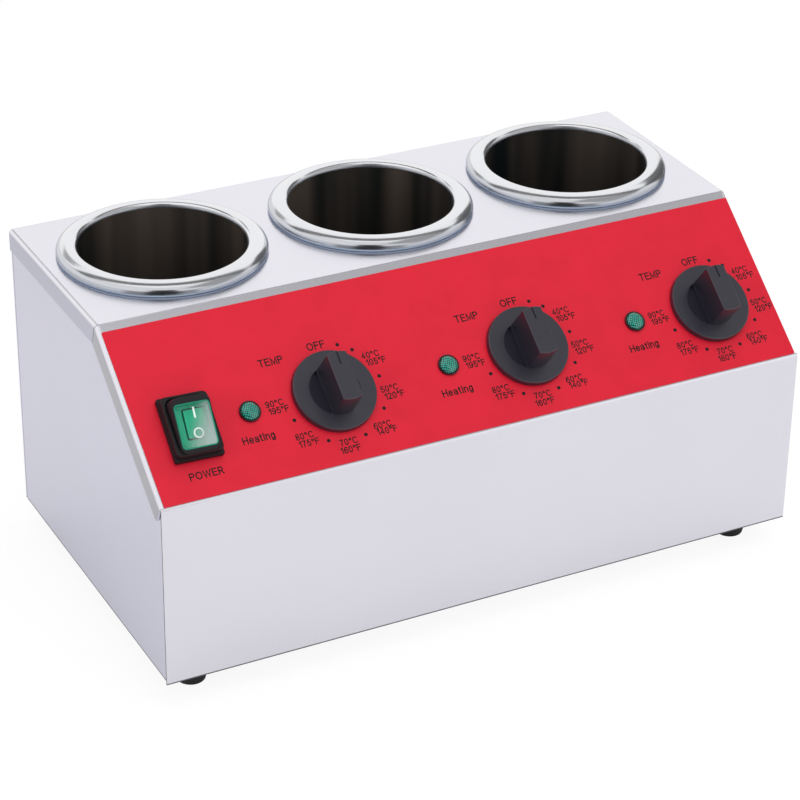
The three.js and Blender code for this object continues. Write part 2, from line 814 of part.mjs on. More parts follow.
function lampLens() {
  const base = overlayTop + clearance;
  const crown = base + lamp.lensEdge;
  const dome = Array.from({ length: cornerSteps + 1 }, (_, i) => {
    const angle = ((i / cornerSteps) * Math.PI) / 2;
    const x = i < cornerSteps ? lamp.domeRadius * Math.cos(angle) : 0;
    return new THREE.Vector2(x, crown + lamp.dome * Math.sin(angle));
  });
  const stem = points([
    [0, base - lamp.stemLength],
    [lamp.stemRadius, base - lamp.stemLength],
    [lamp.stemRadius, base],
    [lamp.lensRadius, base],
    [lamp.lensRadius, crown],
  ]);
  return turned([...stem, ...dome], roundSides);
}

// Lamp housing: a tube through the panel, with the collar that holds it behind.
function lampBody() {
  const top = overlayTop;
  const collarTop = underPanel;
  const bottom = top - lamp.tubeLength;
  return turned(points([
    [0, bottom],
    [lamp.tubeRadius, bottom],
    [lamp.tubeRadius, collarTop - lamp.collarThickness],
    [lamp.collarRadius, collarTop - lamp.collarThickness],
    [lamp.collarRadius, collarTop],
    [lamp.tubeRadius, collarTop],
    [lamp.tubeRadius, top],
    [lamp.stemRadius + shaftClearance, top],
    [lamp.stemRadius + shaftClearance, bottom + lamp.floor],
    [0, bottom + lamp.floor],
  ]), roundSides);
}

const frameBottom = overlayTop + clearance;
const frameTop = frameBottom + power.frameRise;
const rimTop = frameTop + power.rimRise;
const seatFloor = rimTop - power.seatDepth;
const pivotHeight = overlayTop + power.pivotAboveOverlay;

// Switch body: frame and rim above the panel, housing and blade terminals below it.
function switchBody() {
  const frame = alongZ(
    shapeOf(roundedPoints(power.frameWidth, power.frameHeight, power.frameCorner)), frameBottom, frameTop);
  const rim = alongZ(
    shapeOf(roundedPoints(power.rimWidth, power.rimHeight, power.rimCorner)), frameTop - rootDepth, rimTop);
  const bottom = frameBottom - power.housingDepth;
  const housing = alongZ(
    shapeOf(roundedPoints(power.housingWidth, power.housingHeight, power.frameCorner)),
    bottom, frameBottom + rootDepth);
  const tabs = [[-1, -1], [1, -1], [-1, 1], [1, 1]].map(([sx, sy]) => {
    const [x, y] = [(sx * power.housingWidth) / 4, (sy * power.housingHeight) / 4];
    const [w, t] = [power.tabWidth / 2, power.tabThickness / 2];
    return block([x - w, y - t, bottom - power.tabLength], [x + w, y + t, bottom + rootDepth]);
  });
  const play = 2 * boot.play;
  const seat = alongZ(
    shapeOf(roundedPoints(boot.width + play, boot.length + play, boot.corner + boot.play)),
    seatFloor, rimTop + overrun);
  const cavity = block(
    [-power.cavityWidth / 2, -power.cavityHeight / 2, frameBottom - power.cavityBelow],
    [power.cavityWidth / 2, power.cavityHeight / 2, rimTop + overrun]);
  const pinReach = rocker.width / 2 + power.pinLength + clearance;
  const pinBore = pivotBar(power.pinRadius + shaftClearance, pinReach);
  return cut(join(frame, rim, housing, ...tabs), [seat, cavity, pinBore]);
}

// A bar along the rocker's pivot, in the switch's own axes.
function pivotBar(radius, reach) {
  return alongX(shapeOf(circlePoints(radius, smallSides, 0, pivotHeight)), -reach, reach);
}

// The rocker, drawn about its pivot and tilted with its lower end pressed in.
function rockerSolid() {
  const [half, length] = [rocker.width / 2, rocker.length / 2];
  const core = block([-half, -length, -rocker.drop], [half, length, rocker.rise]);
  const lens = block(
    [-rocker.lensWidth / 2, -rocker.lensLength / 2, 0],
    [rocker.lensWidth / 2, rocker.lensLength / 2, rocker.rise + rocker.lensRise]);
  const pin = pivotBar(power.pinRadius, half + power.pinLength).translate(0, 0, -pivotHeight);
  return join(core, lens, pin).rotateX(THREE.MathUtils.degToRad(rocker.tiltDegrees));
}

// Clear boot: a cap that stands in the rim's seat and leaves the rocker room to move.
function bootSolid() {
  const from = seatFloor + clearance;
  const to = from + boot.height;
  const inner = boot.wall * 2;
  const cap = alongZ(shapeOf(roundedPoints(boot.width, boot.length, boot.corner)), from, to);
  const hollow = alongZ(
    shapeOf(roundedPoints(boot.width - inner, boot.length - inner, boot.corner - boot.wall)),
    from - overrun, to - boot.wall);
  return cut(cap, [hollow]);
}

function footSolid() {
  const top = -clearance;
  const bottom = -foot.height;
  const recessTop = bottom + foot.recessDepth;
  return turned(points([
    [screw.holeRadius, top],
    [foot.topRadius, top],
    [foot.bottomRadius, bottom + foot.edge],
    [foot.bottomRadius - foot.edge, bottom],
    [foot.recessRadius, bottom],
    [foot.recessRadius, recessTop],
    [screw.holeRadius, recessTop],
    [screw.holeRadius, top],
  ]), roundSides);
}

// A pan-head screw along Z. The head's face is at zero and the shank runs up from it.
function screwSolid(length) {
  return turned(points([
    [0, -screw.headHeight],
    [screw.headRadius - screw.headEdge, -screw.headHeight],
    [screw.headRadius, screw.headEdge - screw.headHeight],
    [screw.headRadius, 0],
    [screw.radius, 0],
    [screw.radius, length],
    [0, length],
  ]), smallSides);
}

// Gland pieces are drawn along Z, with the outer face of the rear panel at zero and +Z outside.
function glandBody() {
  const seat = clearance;
  const flange = alongZ(shapeOf(hexagon(gland.flats)), seat, seat + gland.flangeThickness);
  const threadEnd = seat + gland.flangeThickness + gland.threadOutside;
  const thread = bar(gland.threadRadius, -sheet - gland.threadInside, threadEnd, roundSides);
  return cut(join(flange, thread), [glandBore()]);
}

function glandBore() {
  const reach = gland.threadInside + gland.capLength + gland.flangeThickness + overrun * 2;
  return bar(gland.boreRadius, -reach, reach, roundSides);
}

function glandLockNut() {
  const to = -sheet - clearance;
  const bore = circlePoints(gland.threadRadius + shaftClearance, roundSides);
  return alongZ(shapeOf(hexagon(gland.flats), [bore]), to - gland.nutThickness, to);
}

function glandCap() {
  const from = clearance + gland.flangeThickness + clearance;
  const to = from + gland.capLength;
  const socket = from + gland.threadOutside;
  const socketRadius = gland.threadRadius + shaftClearance;
  return turned(points([
    [socketRadius, from],
    [gland.capRadius, from],
    [gland.capRadius, to - gland.capTaper],
    [gland.capEndRadius, to],
    [gland.boreRadius, to],
    [gland.boreRadius, socket],
    [socketRadius, socket],
    [socketRadius, from],
  ]), roundSides);
}

// Stands gland pieces on the rear panel: their +Z turns to the case's +Y.
function onRear(geometry) {
  return geometry.rotateX(-Math.PI / 2).translate(glandAlong, rearFace, gland.up);
}

function terminalBlock() {
  const [x, y, z] = [terminals.length / 2, terminals.width / 2, sheet + clearance];
  const body = block([-x, -y, z], [x, y, z + terminals.height]);
  const middle = (terminals.poles - 1) / 2;
  const wells = Array.from({ length: terminals.poles }, (_, i) => {
    const at = (i - middle) * terminals.poleSpacing - terminals.poleWidth / 2;
    return block(
      [at, -y - overrun, z + terminals.height - terminals.poleDepth],
      [at + terminals.poleWidth, -y / 2, z + terminals.height + overrun]);
  });
  const hole = bar(screw.holeRadius, 0, z + terminals.height + overrun, smallSides, terminals.screwOffset, 0);
  return cut(body, [...wells, hole]);
}

// Supply lead, from the terminal block along the tray and up to the switch.
function supplyLead() {
  panelGroup.updateMatrix();
  const under = frameBottom - power.housingDepth - power.tabLength - clearance;
  const onPanel = (height) =>
    new THREE.Vector3(switchAlong, switchPlace.up, height).applyMatrix4(panelGroup.matrix);
  const z = sheet + clearance + lead.aboveFloor;
  const aside = lead.fromSide - sideFace + sheet;
  const startX = terminalPlace.x - terminals.length / 2 - clearance;
  const route = new THREE.CatmullRomCurve3([
    new THREE.Vector3(startX, terminalPlace.y, z),
    new THREE.Vector3(startX - lead.bend, terminalPlace.y, z),
    new THREE.Vector3(aside, terminalPlace.y - lead.bend, z),
    new THREE.Vector3(aside, wellFromFront / 2, z),
    onPanel(under - lead.bend),
    onPanel(under),
  ], false, 'centripetal');
  return tube(route, lead.radius, lead.sides, lead.steps);
}

// Case.
add('top_cover', topCover(), materials.steel);
add('side_panel_left', sidePanel(-1), materials.steel);
add('side_panel_right', sidePanel(1), materials.steel);
add('rear_panel', rearPanel(), materials.steel);
add('base_plate', basePlate(), materials.galvanised);
add('control_overlay', controlOverlay(), materials.red, panelGroup);

// Wells and what belongs to each.
wellNumbers.forEach((i) => {
  const number = i + 1;
  const top = [wellAlong(i), wellFromFront, caseHeight];
  const band = [wellAlong(i), wellFromFront, heaterBottom];
  const onDial = [dialAlong(i), dial.up, 0];
  const onLamp = [lampAlong(i), dial.up, 0];
  const sealRadius = rimRadius - gasket.inset;
  const seal = ring(
    sealRadius - gasket.width, sealRadius, clearance, clearance + gasket.thickness, wideSides);
  add(`well_${number}`, wellPot(), materials.darkSteel, caseGroup, top);
  add(`well_gasket_${number}`, seal, materials.silicone, caseGroup, top);
  add(`band_heater_${number}`, bandHeater(), materials.mica, caseGroup, band);
  add(`clamp_screw_${number}`, clampScrew(), materials.darkSteel, caseGroup, band);
  add(`thermostat_${number}`, thermostatBody(), materials.galvanised, panelGroup, onDial);
  add(`thermostat_nut_${number}`, bushNutSolid(), materials.brass, panelGroup, onDial);
  add(`thermostat_spindle_${number}`, spindleSolid(), materials.brass, panelGroup, onDial);
  add(`knob_${number}`, knobSolid(), materials.charcoal, panelGroup, onDial);
  add(`capillary_${number}`, capillarySolid(i), materials.copper);
  add(`lamp_lens_${number}`, lampLens(), materials.green, panelGroup, onLamp);
  add(`lamp_body_${number}`, lampBody(), materials.black, panelGroup, onLamp);
});

// Power switch.
const onSwitch = [switchAlong, switchPlace.up, 0];
add('switch_body', switchBody(), materials.black, panelGroup, onSwitch);
add('switch_rocker', rockerSolid(), materials.green, panelGroup,
  [switchAlong, switchPlace.up, pivotHeight]);
add('switch_boot', bootSolid(), materials.clear, panelGroup, onSwitch);

// Supply entry.
add('gland_body', onRear(glandBody()), materials.nylon);
add('gland_lock_nut', onRear(glandLockNut()), materials.nylon);
add('gland_cap', onRear(glandCap()), materials.nylon);
add('terminal_block', terminalBlock(), materials.ceramic, caseGroup, [terminalPlace.x, terminalPlace.y, 0]);
const blockScrewPlace = [terminalPlace.x + terminals.screwOffset, terminalPlace.y, -clearance];
add('terminal_screw', screwSolid(terminals.height), materials.darkSteel, caseGroup, blockScrewPlace);
add('supply_lead', supplyLead(), materials.rubber);

// Feet with their screws, and the screws of the rear panel.
footPlaces.forEach(({ name, x, y }) => {
  const seat = foot.recessDepth - foot.height - clearance;
  const length = -seat + sheet + screw.grip;
  add(`foot_${name}`, footSolid(), materials.rubber, caseGroup, [x, y, 0]);
  add(`foot_screw_${name}`, screwSolid(length), materials.darkSteel, caseGroup, [x, y, seat]);
});
rearScrewHeights().forEach((z, row) => [-1, 1].forEach((side) => {
  const name = `rear_screw_${row ? 'upper' : 'lower'}_${side < 0 ? 'left' : 'right'}`;
  const solid = screwSolid(sheet * 2 + clearance * 2 + screw.grip).rotateX(Math.PI / 2);
  const place = [side * (sideFace - rearScrew.fromSide), rearFace + clearance, z];
  add(name, solid, materials.darkSteel, caseGroup, place);
}));

export default model;
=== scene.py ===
import json
import math

import bmesh
import bpy
from mathutils import Matrix, Vector


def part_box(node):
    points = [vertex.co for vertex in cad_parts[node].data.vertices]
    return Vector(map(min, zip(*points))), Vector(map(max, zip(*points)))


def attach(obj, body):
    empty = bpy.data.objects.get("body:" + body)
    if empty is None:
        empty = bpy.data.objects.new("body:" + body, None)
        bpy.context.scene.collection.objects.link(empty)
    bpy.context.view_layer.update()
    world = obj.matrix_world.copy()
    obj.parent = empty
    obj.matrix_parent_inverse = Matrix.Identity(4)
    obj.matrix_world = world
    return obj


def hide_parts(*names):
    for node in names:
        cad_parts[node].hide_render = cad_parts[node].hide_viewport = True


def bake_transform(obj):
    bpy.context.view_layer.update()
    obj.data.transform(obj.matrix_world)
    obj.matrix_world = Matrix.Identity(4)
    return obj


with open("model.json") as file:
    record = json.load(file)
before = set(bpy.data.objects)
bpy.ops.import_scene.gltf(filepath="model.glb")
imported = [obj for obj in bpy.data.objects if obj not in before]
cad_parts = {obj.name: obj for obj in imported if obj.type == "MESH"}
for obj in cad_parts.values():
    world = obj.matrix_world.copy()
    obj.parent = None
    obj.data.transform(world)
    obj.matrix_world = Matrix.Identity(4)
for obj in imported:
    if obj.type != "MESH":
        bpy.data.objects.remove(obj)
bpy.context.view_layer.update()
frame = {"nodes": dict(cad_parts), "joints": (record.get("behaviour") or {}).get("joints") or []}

# Looks of a counter-top topping warmer with three wells and a sloping control panel.
# Lengths are in metres, apart from the tables in millimetres. The case's own axes start at the
# middle of its lower front edge, and the panel's at the lower end of the slope.

MM = 0.001

# Outer sizes of the case from the frame, then its front, its slope and its steel sheet.
cover_low, cover_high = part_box("top_cover")
HALF_LENGTH = cover_high.x
FRONT_Y = cover_low.y
BASE_Z = cover_low.z
DEPTH = cover_high.y - cover_low.y
HEIGHT = cover_high.z - cover_low.z
FRONT_HEIGHT = 115.6 * MM
SLOPE_RUN = 91 * MM
SHEET = 1 * MM

# Outer radii of the folds: down to the flanges, above and below the slope, and on a side panel.
BEND_RADIUS = 3 * MM
UPPER_BEND_RADIUS = 1.3 * MM
LOWER_BEND_RADIUS = 2.6 * MM
SIDE_BEND_RADIUS = 1.3 * MM
BEND_STEPS = 8

# Flanges of the cover. The slope's flange starts a little before the slope does.
FLANGE_DEPTH = 13.6 * MM
FLANGE_SETBACK = 1.6 * MM
FLANGE_END = -0.9 * MM
FLANGE_CORNER = 3 * MM
CORNER_STEPS = 5
MITRE_HALF_GAP = 0.25 * MM

# Side panels: how far they stay under the cover, and the width of their folded edges. Last, the
# height of the strip along the lower edge of the front and side sheets that is painted shade.
SIDE_INSET = 2.4 * MM
RETURN_WIDTH = 14 * MM
PAINTED_SHADE_STRIP = 0.8 * MM

SLOPE_RISE = HEIGHT - FRONT_HEIGHT
SLOPE_ANGLE = math.atan2(SLOPE_RISE, SLOPE_RUN)
SLOPE_LENGTH = math.hypot(SLOPE_RISE, SLOPE_RUN)
CASE = Matrix.Translation((0, FRONT_Y, BASE_Z))
PANEL = CASE @ Matrix.Translation((0, 0, FRONT_HEIGHT)) @ Matrix.Rotation(SLOPE_ANGLE, 4, "X")

# Tops of the printed sheet and of the print on it, above the sloping steel.
OVERLAY_TOP = 0.7 * MM
PRINT_HEIGHT = 0.03 * MM


def box_centre(node):
    low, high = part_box(node)
    return (low + high) / 2


def joint_place(name):
    """A joint's place on the control panel: along, up the slope and out of the sheet."""
    joint = next(j for j in frame["joints"] if j["name"] == name)
    return PANEL.inverted() @ Vector(joint["pos_m"])


WELLS = [box_centre(f"well_{i}") for i in (1, 2, 3)]
DIALS = [joint_place(f"knob_{i}_turn") for i in (1, 2, 3)]
LAMPS = [Vector((box_centre(f"lamp_lens_{i}").x, DIALS[0].y, 0)) for i in (1, 2, 3)]
PIVOT = joint_place("rocker_tilt")
SWITCH = Vector((PIVOT.x, PIVOT.y, 0))


# Mesh helpers

# How squarely a face has to look along an axis to be counted with the faces there.
SQUARELY, NEARLY, ROUGHLY = 0.98, 0.9, 0.8


def weld(mesh, distance, dissolve=False):
    """Joins doubled points, drops faces without area if asked to, and turns the faces one way."""
    bm = bmesh.new()
    bm.from_mesh(mesh)
    bmesh.ops.remove_doubles(bm, verts=bm.verts, dist=distance)
    if dissolve:
        bmesh.ops.dissolve_degenerate(bm, edges=bm.edges, dist=distance)
    bmesh.ops.recalc_face_normals(bm, faces=bm.faces)
    bm.to_mesh(mesh)
    bm.free()


def mesh_from(name, verts, faces):
    """A welded mesh from points and faces."""
    mesh = bpy.data.meshes.new(name)
    mesh.from_pydata([tuple(v) for v in verts], [], faces)
    weld(mesh, 1e-7, dissolve=True)
    return mesh


def lathe(name, profile, steps, closed=False, parts=None):
    """A mesh turned about Z from (radius, height) points. parts gives a material index per span."""
    verts, rings = [], []
    for radius, height in profile:
        start = len(verts)
        if radius < 1e-9:
            rings.append([start] * steps)
            verts.append((0, 0, height))
        else:
            rings.append(range(start, start + steps))
            verts += [(x, y, height) for x, y in circle(radius, steps)]
    faces, indices = [], []
    nexts = rings[1:] + rings[:1] if closed else rings[1:]
    for span, (low, high) in enumerate(zip(rings, nexts)):
        for k in range(steps):
            n = (k + 1) % steps
            corners = dict.fromkeys((low[k], low[n], high[n], high[k]))
            if len(corners) > 2:
                faces.append(tuple(corners))
                indices.append(parts[span] if parts else 0)
    mesh = bpy.data.meshes.new(name)
    mesh.from_pydata(verts, [], faces)
    for polygon, index in zip(mesh.polygons, indices):
        polygon.material_index = index
    return mesh


def oval(x, y, across, up, start=0, end=360, steps=20):
    """Points on an oval, with angles in degrees from its right side."""
    found = []
    for i in range(steps + 1):
        angle = math.radians(start + (end - start) * i / steps)
        found.append((x + across * math.cos(angle), y + up * math.sin(angle)))
    return found


def arc(x, y, radius, start, end, steps):
    return oval(x, y, radius, radius, start, end, steps)


def circle(radius, steps=48, x=0.0, y=0.0):
    return arc(x, y, radius, 0, 360 * (steps - 1) / steps, steps - 1)


def rounded_rectangle(width, height, radius, steps=6, x=0.0, y=0.0):
    found = []
    for i, (sx, sy) in enumerate([(1, 1), (-1, 1), (-1, -1), (1, -1)]):
        cx, cy = x + sx * (width / 2 - radius), y + sy * (height / 2 - radius)
        found += arc(cx, cy, radius, 90 * i, 90 * i + 90, steps)
    return found


def in_metres(rows):
    return [[value * MM for value in row] for row in rows]


def rounded_loops(rows, steps, x=0.0, y=0.0):
    """Loops of points from rows of width, length, corner radius and height."""
    loops = []
    for width, length, corner, level in rows:
        outline = rounded_rectangle(width, length, corner, steps, x, y)
        loops.append([Vector((px, py, level)) for px, py in outline])
    return loops


def placed(name, data):
    """A new object in the scene."""
    obj = bpy.data.objects.new(name, data)
    bpy.context.scene.collection.objects.link(obj)
    return obj


def evaluated_copy(obj, name):
    """The object's mesh with its modifiers applied. The object itself is deleted."""
    graph = bpy.context.evaluated_depsgraph_get()
    mesh = bpy.data.meshes.new_from_object(obj.evaluated_get(graph), depsgraph=graph)
    mesh.name = name
    data = obj.data
    bpy.data.objects.remove(obj)
    if isinstance(data, bpy.types.Curve):
        bpy.data.curves.remove(data)
    return mesh


def plate(name, outline, low, high, holes=(), bevel=0.0):
    """A flat plate between two heights, with holes and softened edges."""
    curve = bpy.data.curves.new(name, "CURVE")
    curve.dimensions = "2D"
    curve.fill_mode = "BOTH"
    curve.extrude = (high - low) / 2 - bevel
    curve.bevel_depth = bevel
    curve.bevel_resolution = 3
    curve.offset = -bevel
    for loop in [outline, *holes]:
        spline = curve.splines.new("POLY")
        spline.points.add(len(loop) - 1)
        for point, (x, y) in zip(spline.points, loop):
            point.co = (x, y, 0, 1)
        spline.use_cyclic_u = True
    mesh = evaluated_copy(placed("temporary", curve), name)
    mesh.transform(Matrix.Translation((0, 0, (low + high) / 2)))
    weld(mesh, 1e-6)
    return mesh


def with_modifier(mesh, kind, **settings):
    """The mesh after one modifier."""
    obj = placed("temporary", mesh)
    modifier = obj.modifiers.new(kind, kind)
    for key, value in settings.items():
        setattr(modifier, key, value)
    return evaluated_copy(obj, mesh.name)


def cut(mesh, cutter):
    """The mesh without the part that a cutter takes away."""
    tool = placed("temporary", cutter)
    done = with_modifier(mesh, "BOOLEAN", object=tool, operation="DIFFERENCE", solver="EXACT")
    bpy.data.objects.remove(tool)
    return done


def merged(name, meshes):
    """One mesh from several, with their material indices kept."""
    bm = bmesh.new()
    for mesh in meshes:
        bm.from_mesh(mesh)
    whole = bpy.data.meshes.new(name)
    bm.to_mesh(whole)
    bm.free()
    return whole


def loft(name, loops):
    """A closed skin through loops of points with the same count, in order, with flat ends."""
    count = len(loops[0])
    verts = [point for loop in loops for point in loop]
    last = len(verts) - count
    faces = []
    for a in range(0, last, count):
        for k in range(count):
            n = (k + 1) % count
            faces.append((a + k, a + n, a + count + n, a + count + k))
    faces.append(tuple(range(count - 1, -1, -1)))
    faces.append(tuple(range(last, len(verts))))
    return mesh_from(name, verts, faces)


def piece(name, mesh, body, looks, nodes, place, degrees=30, weighted=True):
    """Shows a mesh as a piece of the object, riding on a body and standing for CAD nodes."""
    mesh.name = name
    mesh.transform(place)
    indices = []
    for polygon in mesh.polygons:
        polygon.use_smooth = True
        indices.append(polygon.material_index)
    mesh.set_sharp_from_angle(angle=math.radians(degrees))
    mesh.materials.clear()
    for look in looks:
        mesh.materials.append(LOOKS[look])
    for polygon, index in zip(mesh.polygons, indices):
        polygon.material_index = index
    obj = placed(name, mesh)
    if weighted:
        modifier = obj.modifiers.new("normals", "WEIGHTED_NORMAL")
        modifier.keep_sharp = True
        modifier.weight = 100
    if body:
        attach(obj, body)
    if nodes:
        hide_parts(*nodes)
    return obj


# Materials


class Tree:
    """Short ways to add nodes to a material or to the world."""

    def __init__(self, owner):
        owner.use_nodes = True
        self.nodes = owner.node_tree.nodes
        self.links = owner.node_tree.links

    def fill(self, socket, value):
        """Links another node's output to a socket, or sets the socket to a plain value."""
        if isinstance(value, bpy.types.NodeSocket):
            self.links.new(value, socket)
        else:
            socket.default_value = value

    def node(self, kind, *values, settings=None, **inputs):
        """A new node. Its sockets are filled in order, or by name with _ for a space."""
        made = self.nodes.new("ShaderNode" + kind)
        for key, value in (settings or {}).items():
            setattr(made, key, value)
        for socket, value in zip(made.inputs, values):
            self.fill(socket, value)
        for key, value in inputs.items():
            self.fill(made.inputs[key.replace("_", " ")], value)
        return made

    def math(self, operation, *values):
        return self.node("Math", *values, settings={"operation": operation}).outputs[0]

    def mixed(self, share, first, second):
        """A shader between two others."""
        return self.node("MixShader", share, first, second).outputs["Shader"]

    def glow(self, strength):
        """Plain white light from a surface."""
        emission = self.node("Emission", Color=(1, 1, 1, 1), Strength=strength)
        return emission.outputs["Emission"]

    def show(self, shader):
        self.links.new(shader, self.nodes["Material Output"].inputs["Surface"])


class Look(Tree):
    """A material round one Principled shader."""

    def __init__(self, name, color, roughness, metallic=0.0, **sockets):
        self.material = bpy.data.materials.new(name)
        super().__init__(self.material)
        self.shader = self.nodes["Principled BSDF"]
        sockets.update(Base_Color=(*color, 1), Roughness=roughness, Metallic=metallic)
        for key, value in sockets.items():
            self.drive(key.replace("_", " "), value)

    def drive(self, name, value):
        """Sets one of the shader's sockets, or links an output to it."""
        self.fill(self.shader.inputs[name], value)

    def noise(self, scale, stretch=(1, 1, 1), detail=2.0, roughness=0.5):
        """Noise over the object's own coordinates, drawn out along an axis by the stretch."""
        where = self.node("TexCoord").outputs["Object"]
        place = self.node("Mapping", Vector=where, Scale=stretch).outputs["Vector"]
        made = self.node("TexNoise", Vector=place, Scale=scale, Detail=detail, Roughness=roughness)
        return made.outputs["Fac"]

    def color_between(self, share, dark, light):
        ends = {"A": (*dark, 1), "B": (*light, 1)}
        mix = self.node("Mix", settings={"data_type": "RGBA"}, Factor=share, **ends)
        self.drive("Base Color", mix.outputs["Result"])

    def color_about(self, share, color, variation):
        self.color_between(share, scaled(color, 1 - variation), scaled(color, 1 + variation))

    def roughness_between(self, share, low, high):
        spread = self.node("MapRange", Value=share, To_Min=low, To_Max=high)
        self.drive("Roughness", spread.outputs["Result"])

    def bump(self, height, strength, distance):
        made = self.node("Bump", Height=height, Strength=strength, Distance=distance)
        self.drive("Normal", made.outputs["Normal"])


def scaled(color, factor):
    return tuple(channel * factor for channel in color)


def brushed_metal(name, color, roughness, grain, bump=0.05, variation=0.03):
    """Metal with a fine grain drawn out along the axis where the grain's number is small."""
    look = Look(name, color, roughness, 1.0)
    lines = look.noise(1.0, grain, 4.0, 0.6)
    look.color_about(look.noise(9.0), color, variation)
    look.roughness_between(lines, roughness * 0.8, roughness * 1.2)
    look.bump(lines, bump, 0.1 * MM)
    return look.material


def moulded_plastic(name, color, roughness, grain_scale=900.0, bump=0.15, specular=0.5):
    """Plastic with a fine moulded texture and slight mottling."""
    look = Look(name, color, roughness, Specular_IOR_Level=specular)
    clouds = look.noise(60.0)
    look.color_about(clouds, color, 0.08)
    look.roughness_between(clouds, roughness * 0.9, roughness * 1.1)
    look.bump(look.noise(grain_scale, detail=3.0), bump, 0.05 * MM)
    return look.material


def green_moulding(name, color):
    """Glossy green moulding with slight clouding."""
    look = Look(name, color, 0.3, Specular_IOR_Level=0.25)
    look.color_about(look.noise(120.0, detail=3.0), color, 0.12)
    return look.material


def well_steel():
    """Inside of a well painted dark for the shade down in it, with fine turned rings and upright
    streaks of painted reflection.
    """
    look = Look("well_steel", (0.07, 0.06, 0.05), 0.3, 0.4)
    rings = look.noise(1.0, (6, 6, 900), 4.0, 0.65)
    clouds = look.noise(34.0, (1, 1, 0.05))
    streaks = look.node("MapRange", Value=clouds, From_Min=0.36, From_Max=0.66)
    look.color_between(streaks.outputs["Result"], (0.010, 0.014, 0.016), (0.125, 0.10, 0.083))
    look.roughness_between(rings, 0.22, 0.4)
    look.bump(rings, 0.15, 0.1 * MM)
    return look.material


def silicone():
    """Pale translucent seal with a bluish cast."""
    look = Look("silicone", (0.55, 0.66, 0.84), 0.35, Transmission_Weight=0.15, IOR=1.41)
    look.color_between(look.noise(80.0, detail=3.0), (0.48, 0.60, 0.78), (0.60, 0.71, 0.88))
    return look.material


def jewel():
    """Green lamp lens with a moulded lattice of small pyramids."""
    look = Look("jewel", (0.01, 0.30, 0.20), 0.12, Coat_Weight=1.0, Coat_Roughness=0.04)
    where = look.node("TexCoord").outputs["Object"]
    turn = (-SLOPE_ANGLE, 0, math.radians(30))
    turned = look.node("Mapping", Vector=where, Rotation=turn).outputs["Vector"]
    waves = []
    for direction in ("X", "Y"):
        settings = {"bands_direction": direction}
        wave = look.node("TexWave", settings=settings, Vector=turned, Scale=260.0, Distortion=0.4)
        waves.append(wave.outputs["Fac"])
    lattice = look.math("MULTIPLY", *waves)
    look.color_between(lattice, (0.0, 0.06, 0.045), (0.015, 0.72, 0.53))
    look.bump(lattice, 0.6, 0.3 * MM)
    return look.material


def clear_boot():
    """Clear soft moulding that lets light through, with a pale painted sheen that grows towards its
    lower right.
    """
    look = Look("clear_boot", (0.95, 1.0, 0.98), 0.06, Transmission_Weight=1.0, IOR=1.12)
    look.roughness_between(look.noise(120.0, detail=3.0), 0.04, 0.1)
    # A pale grey shader mixed in towards the lower right paints a sheen on the boot.
    direction = (PANEL.to_3x3() @ Vector((1, -0.55, 0))).normalized()
    middle = direction.dot(PANEL @ SWITCH)
    where = look.node("TexCoord").outputs["Object"]
    product = look.node("VectorMath", where, direction, settings={"operation": "DOT_PRODUCT"})
    share = look.node("MapRange", settings={"interpolation_type": "SMOOTHSTEP"},
                      Value=product.outputs["Value"], From_Min=middle - 3 * MM,
                      From_Max=middle + 15 * MM, To_Max=0.6)
    painted_sheen = look.node("BsdfDiffuse", Color=(0.50, 0.58, 0.57, 1)).outputs["BSDF"]
    with_painted_sheen = look.mixed(share.outputs["Result"], look.shader.outputs["BSDF"], painted_sheen)
    clear = look.node("BsdfTransparent", Color=(0.97, 1, 0.98, 1)).outputs["BSDF"]
    is_shadow = look.node("LightPath").outputs["Is Shadow Ray"]
    look.show(look.mixed(is_shadow, with_painted_sheen, clear))
    return look.material


STEEL_COLOR = (0.82, 0.807, 0.868)
ALONG_X = (4, 900, 900)
ALONG_Y = (900, 4, 900)
EVEN = (300, 300, 300)
# Metals: colour, roughness, grain along X, Y and Z, bump and variation of the colour.
METALS = {
    "case_steel": (STEEL_COLOR, 0.25, ALONG_X, 0.012),
    "side_steel": ((0.765, 0.76, 0.865), 0.3, ALONG_Y, 0.02),
    # The cover's flanges take darker copies of its steel: painted shade.
    "flange_painted_shade": ((0.565, 0.57, 0.665), 0.2, ALONG_Y, 0.02),
    "slope_flange_painted_shade": (scaled(STEEL_COLOR, 0.60), 0.2, ALONG_Y, 0.02),
    # Near black for the sheets' low strips and the front sheet's end edges: painted shade.
    "edge_painted_shade": ((0.16, 0.16, 0.18), 0.4, EVEN, 0.02, 0.15),
    "rim_steel": ((0.82, 0.825, 0.85), 0.15, EVEN, 0.01),
    # Two darker copies of the rim's steel for the lower outer side of its dome: painted shade.
    "rim_flank_painted_shade": ((0.62, 0.635, 0.67), 0.17, EVEN, 0.01),
    "rim_painted_shade": ((0.50, 0.52, 0.57), 0.2, EVEN, 0.01),
    "lip_steel": ((0.50, 0.52, 0.56), 0.36, (6, 6, 900), 0.05),
    "galvanised": ((0.50, 0.51, 0.52), 0.45, (60, 60, 60), 0.03, 0.12),
    "screw_steel": ((0.62, 0.62, 0.63), 0.3, (700, 700, 700), 0.03),
    "copper": ((0.78, 0.38, 0.24), 0.25, (200, 200, 200), 0.02, 0.1),
    "brass": ((0.74, 0.56, 0.26), 0.25, EVEN, 0.02, 0.08),
}
